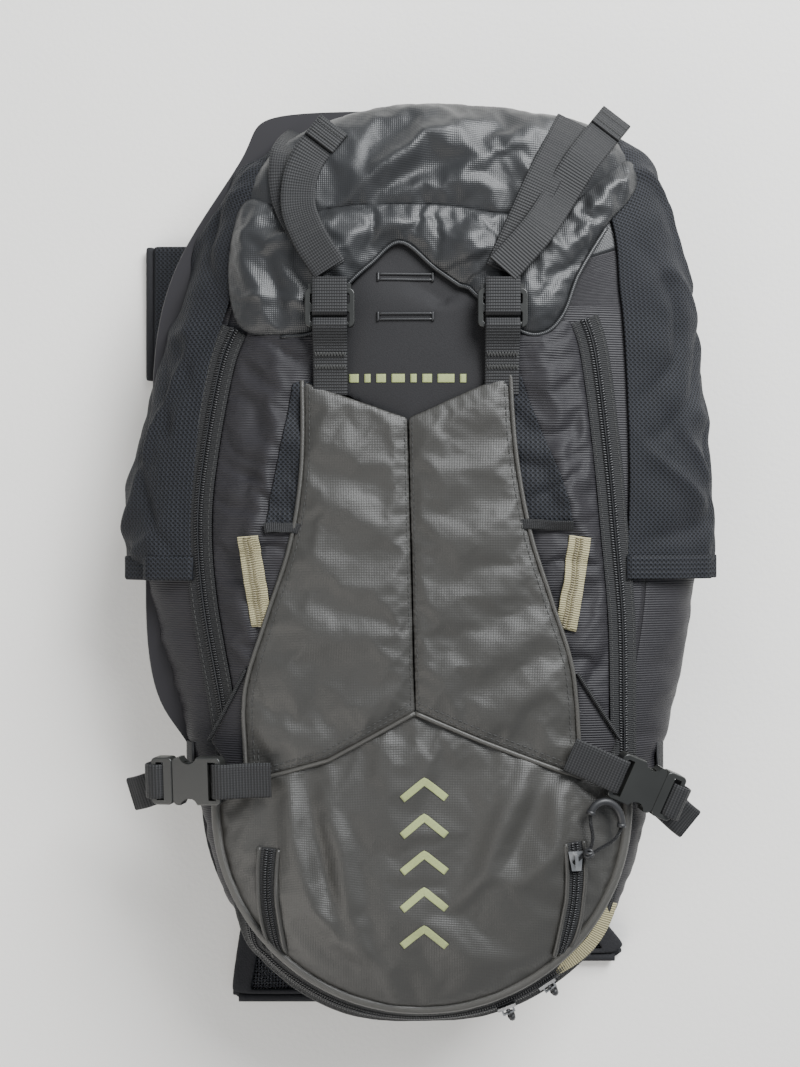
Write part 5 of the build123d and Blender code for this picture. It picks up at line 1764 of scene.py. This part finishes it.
class PACK_OT_back(PackOperator, bpy.types.Operator):
    """Makes the padded back panel, its pads, the hip belt and the shoulder straps"""

    bl_idname = "pack.back"
    bl_label = "Back panel"

    def make(self, context):
        self.make_pad("back_panel", "back_foam", "pack", "foam_cloth", "foam")
        for name in ("back_pads", "belt_roots"):
            self.make_pad(f"sewn_{name}", name, "pack", "open_mesh", "open_mesh")
        for side in ("left", "right"):
            self.make_pad(f"hip_belt_{side}", f"belt_wing_{side}", f"belt_wing_{side}",
                          "foam_cloth", "open_mesh")
        self.make_strap(-1, "left")
        self.make_strap(1, "right")
        form = FORM["bag"]
        low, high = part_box("back_binding")
        line = []
        for k in range(form.count):
            edge = form.rim[k]
            middle = form.middle(edge)
            spot = middle.lerp(edge, 0.905)
            line.append(Vector((spot.x, spot.y, (low.z + high.z) / 2 + 0.004)))
        finish_piece("seam_binding", tube(line, 0.0034, 10, closed=True), "binding", "pack",
                     "webbing", nodes=("back_binding",))

    def make_strap(self, side, name):
        """A shoulder strap: the yoke sewn to the pack, and the strap folded back under it."""
        low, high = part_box(f"shoulder_strap_{name}")
        outer = max(abs(low.x), abs(high.x))
        inner = outer - 0.058
        fold_y = low.y + 0.0012
        yoke_y = low.y + 0.0057
        self.make_pad_with_window(
            f"strap_border_{name}", side, inner, outer, fold_y,
            [(0.104, -0.215), (0.074, -0.110), (0.062, 0.000), (0.042, 0.054), (0.024, 0.010),
             (0.023, -0.130), (0.038, -0.205)],
            [(0.091, -0.214), (0.064, -0.110), (0.051, 0.000), (0.042, 0.036), (0.035, 0.000),
             (0.034, -0.130), (0.050, -0.204)],
            0.0025, 0.0044, f"shoulder_strap_{name}", (f"shoulder_strap_{name}",))
        self.make_pad_with_window(
            f"yoke_border_{name}", side, inner, outer, yoke_y,
            [(0.106, -0.216), (0.088, -0.203), (0.058, -0.201), (0.042, -0.213)],
            [(0.094, -0.222), (0.083, -0.213), (0.062, -0.211), (0.053, -0.220)],
            0.0070, 0.0028, "pack", ("shoulder_yokes",) if side > 0 else ())
        roll = [Vector((side * lerp(inner + 0.004, outer - 0.004, k / 12), low.y + 0.0028, 0.0052))
                for k in range(13)]
        finish_piece(f"strap_fold_{name}", tube(roll, 0.0026, 12), "foam_cloth",
                     f"shoulder_strap_{name}", "open_mesh")

    def make_pad_with_window(self, name, side, inner, outer, end_y, rest, window_rest, level,
                             thickness, body, nodes):
        """A flat pad with a square end, and a sheet of open mesh across the window in it."""
        near = 0.008
        close = 0.29 * near
        outline = [(inner, end_y + near), (inner + close, end_y + close), (inner + near, end_y),
                   (outer - near, end_y), (outer - close, end_y + close), (outer, end_y + near)]
        window = [(inner + 0.009, end_y + 0.0032), (outer - 0.012, end_y + 0.0032), *window_rest]
        outline = flow([Vector((side * x, y)) for x, y in outline + rest], 0.003, closed=True)
        window = straight([Vector((side * x, y)) for x, y in window + window[:1]], 0.003)[:-1]
        pad = finish_piece(name, draped_mesh(Level(level), outline, 0.004, lambda x, y, edge: 0.0,
                                             window=window),
                           "foam_cloth", body, "open_mesh", nodes=nodes)
        thicken(pad, thickness, 1, 0.0)
        mesh = draped_mesh(Level(level - 0.2 * thickness), shifted(outline, 0.003 * side)[1:-1],
                           0.004, lambda x, y, edge: 0.0001 * noise.noise(
                               Vector((x * 60, y * 60, 2))))
        layer = mesh.loops.layers.uv.active
        for face in mesh.faces:
            for corner in face.loops:
                spot = corner.vert.co
                corner[layer].uv = ((spot.x + spot.y) * 0.7071, (spot.y - spot.x) * 0.76)
        area = sum(f.calc_area() for f in mesh.faces)
        panel = finish_piece(name.replace("border", "mesh"), mesh, "spacer_mesh", body,
                             "open_mesh")
        thicken(panel, 0.0003)
        size = [max(p[a] for p in outline) - min(p[a] for p in outline) for a in (0, 1)]

    def make_pad(self, name, node, body, material, slot):
        """A sewn pad in the place of a plain block: rounded, and quilted on its underside when it
        is the back foam.
        """
        source = frame["nodes"][node]
        piece = bpy.data.objects.new(name, source.data.copy())
        bpy.context.scene.collection.objects.link(piece)
        piece.data.materials.clear()
        piece.data.materials.append(FINISH[material])
        mesh = bmesh.new()
        mesh.from_mesh(piece.data)
        bmesh.ops.remove_doubles(mesh, verts=mesh.verts, dist=0.00005)
        mesh.to_mesh(piece.data)
        mesh.free()
        apply_modifier(piece, "REMESH", "voxels", mode="VOXEL",
                       voxel_size=0.0035 if node == "back_foam" else 0.0018)
        apply_modifier(piece, "SMOOTH", "soften", factor=0.6,
                       iterations=6 if node == "back_foam" else 4)
        mesh = bmesh.new()
        mesh.from_mesh(piece.data)
        layer = mesh.loops.layers.uv.verify()
        for vert in mesh.verts:
            x, y = vert.co.x, vert.co.y
            if vert.normal.z < -0.5 and node == "back_foam":
                cell = 0.5 + 0.5 * math.cos(x * TURN / 0.034) * math.cos(y * TURN / 0.042)
                vert.co.z += 0.0016 * (1 - cell)
        for face in mesh.faces:
            for loop in face.loops:
                spot = loop.vert.co
                loop[layer].uv = (spot.x + spot.z * 0.7, spot.y + spot.z * 0.7)
        mesh.to_mesh(piece.data)
        mesh.free()
        piece.data.polygons.foreach_set("use_smooth", [True] * len(piece.data.polygons))
        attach(piece, body)
        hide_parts(node)


class PACK_OT_hardware(PackOperator, bpy.types.Operator):
    """Gives the moulded and metal hardware its finish, and hangs the main zip's pulls"""

    bl_idname = "pack.hardware"
    bl_label = "Hardware"

    finishes = {
        "hardware_plastic": ("buckle_socket_left", "buckle_socket_right", "buckle_tongue_left",
                             "buckle_tongue_right", "ladder_lock_left", "ladder_lock_right",
                             "release_button"),
        "slider_metal": ("pocket_slider", "main_slider_left", "main_slider_right"),
        "port_plastic": ("filling_port", "port_handle", "tube_socket", "reservoir_cap"),
        "reservoir_film": ("reservoir_back_film", "reservoir_front_film"),
        "protector_foam": ("protector_plate",),
        "ribbed_nylon": ("reservoir_divider",),
    }

    def make(self, context):
        for finish, nodes in self.finishes.items():
            for node in nodes:
                piece = frame["nodes"][node]
                piece.data.materials.clear()
                piece.data.materials.append(FINISH[finish])
        for name in ("left", "right"):
            low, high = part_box(f"main_pull_{name}")
            middle = (low + high) / 2
            out = Vector((middle.x, middle.y + 0.140, 0.0)).normalized()
            line = []
            for k in range(15):
                t = k / 14
                spot = middle + out * 0.0075 * smooth_step(0.15, 0.6, t)
                spot.z = lerp(high.z - 0.001, low.z + 0.001, t)
                line.append(spot)
            meshes = [tube(line, 0.0012, 8), tube(line[6:], 0.0021, 10)]
            joined(f"zip_pull_{name}", meshes, "grip_rubber", f"main_slider_{name}", "cord",
                   nodes=(f"main_pull_{name}",))


# ---------------------------------------------------------------------------------------------
# Panel and registration
# ---------------------------------------------------------------------------------------------
OPERATORS = (
    PACK_OT_stage,
    PACK_OT_pull_cord,
    PACK_OT_bag,
    PACK_OT_main_zip,
    PACK_OT_gussets,
    PACK_OT_harness,
    PACK_OT_base_flap,
    PACK_OT_front_pocket,
    PACK_OT_side_pockets,
    PACK_OT_straps,
    PACK_OT_back,
    PACK_OT_hardware,
)


class PACK_PT_panel(bpy.types.Panel):
    """Lists the pack's sizes, colours and pieces"""

    bl_idname = "PACK_PT_panel"
    bl_label = "Hydration Pack"
    bl_space_type = "VIEW_3D"
    bl_region_type = "UI"
    bl_category = "Pack"

    def draw(self, context):
        layout = self.layout
        for group in (context.scene.pack_form, context.scene.pack_finish):
            for name in group.__annotations__:
                layout.prop(group, name)
        for operator in OPERATORS:
            layout.operator(operator.bl_idname)


CLASSES = (PackFormSettings, PackFinishSettings, *OPERATORS, PACK_PT_panel)


def register():
    for item in CLASSES:
        bpy.utils.register_class(item)
    bpy.types.Scene.pack_form = bpy.props.PointerProperty(type=PackFormSettings)
    bpy.types.Scene.pack_finish = bpy.props.PointerProperty(type=PackFinishSettings)


def unregister():
    del bpy.types.Scene.pack_form
    del bpy.types.Scene.pack_finish
    for item in reversed(CLASSES):
        bpy.utils.unregister_class(item)


def main():
    register()
    scene = bpy.context.scene
    make_finishes(scene.pack_finish)
    FORM["bag"] = PackForm(scene.pack_form)
    for operator in OPERATORS:
        group, name = operator.bl_idname.split(".")
        getattr(getattr(bpy.ops, group), name)()


if __name__ == "__main__":
    main()
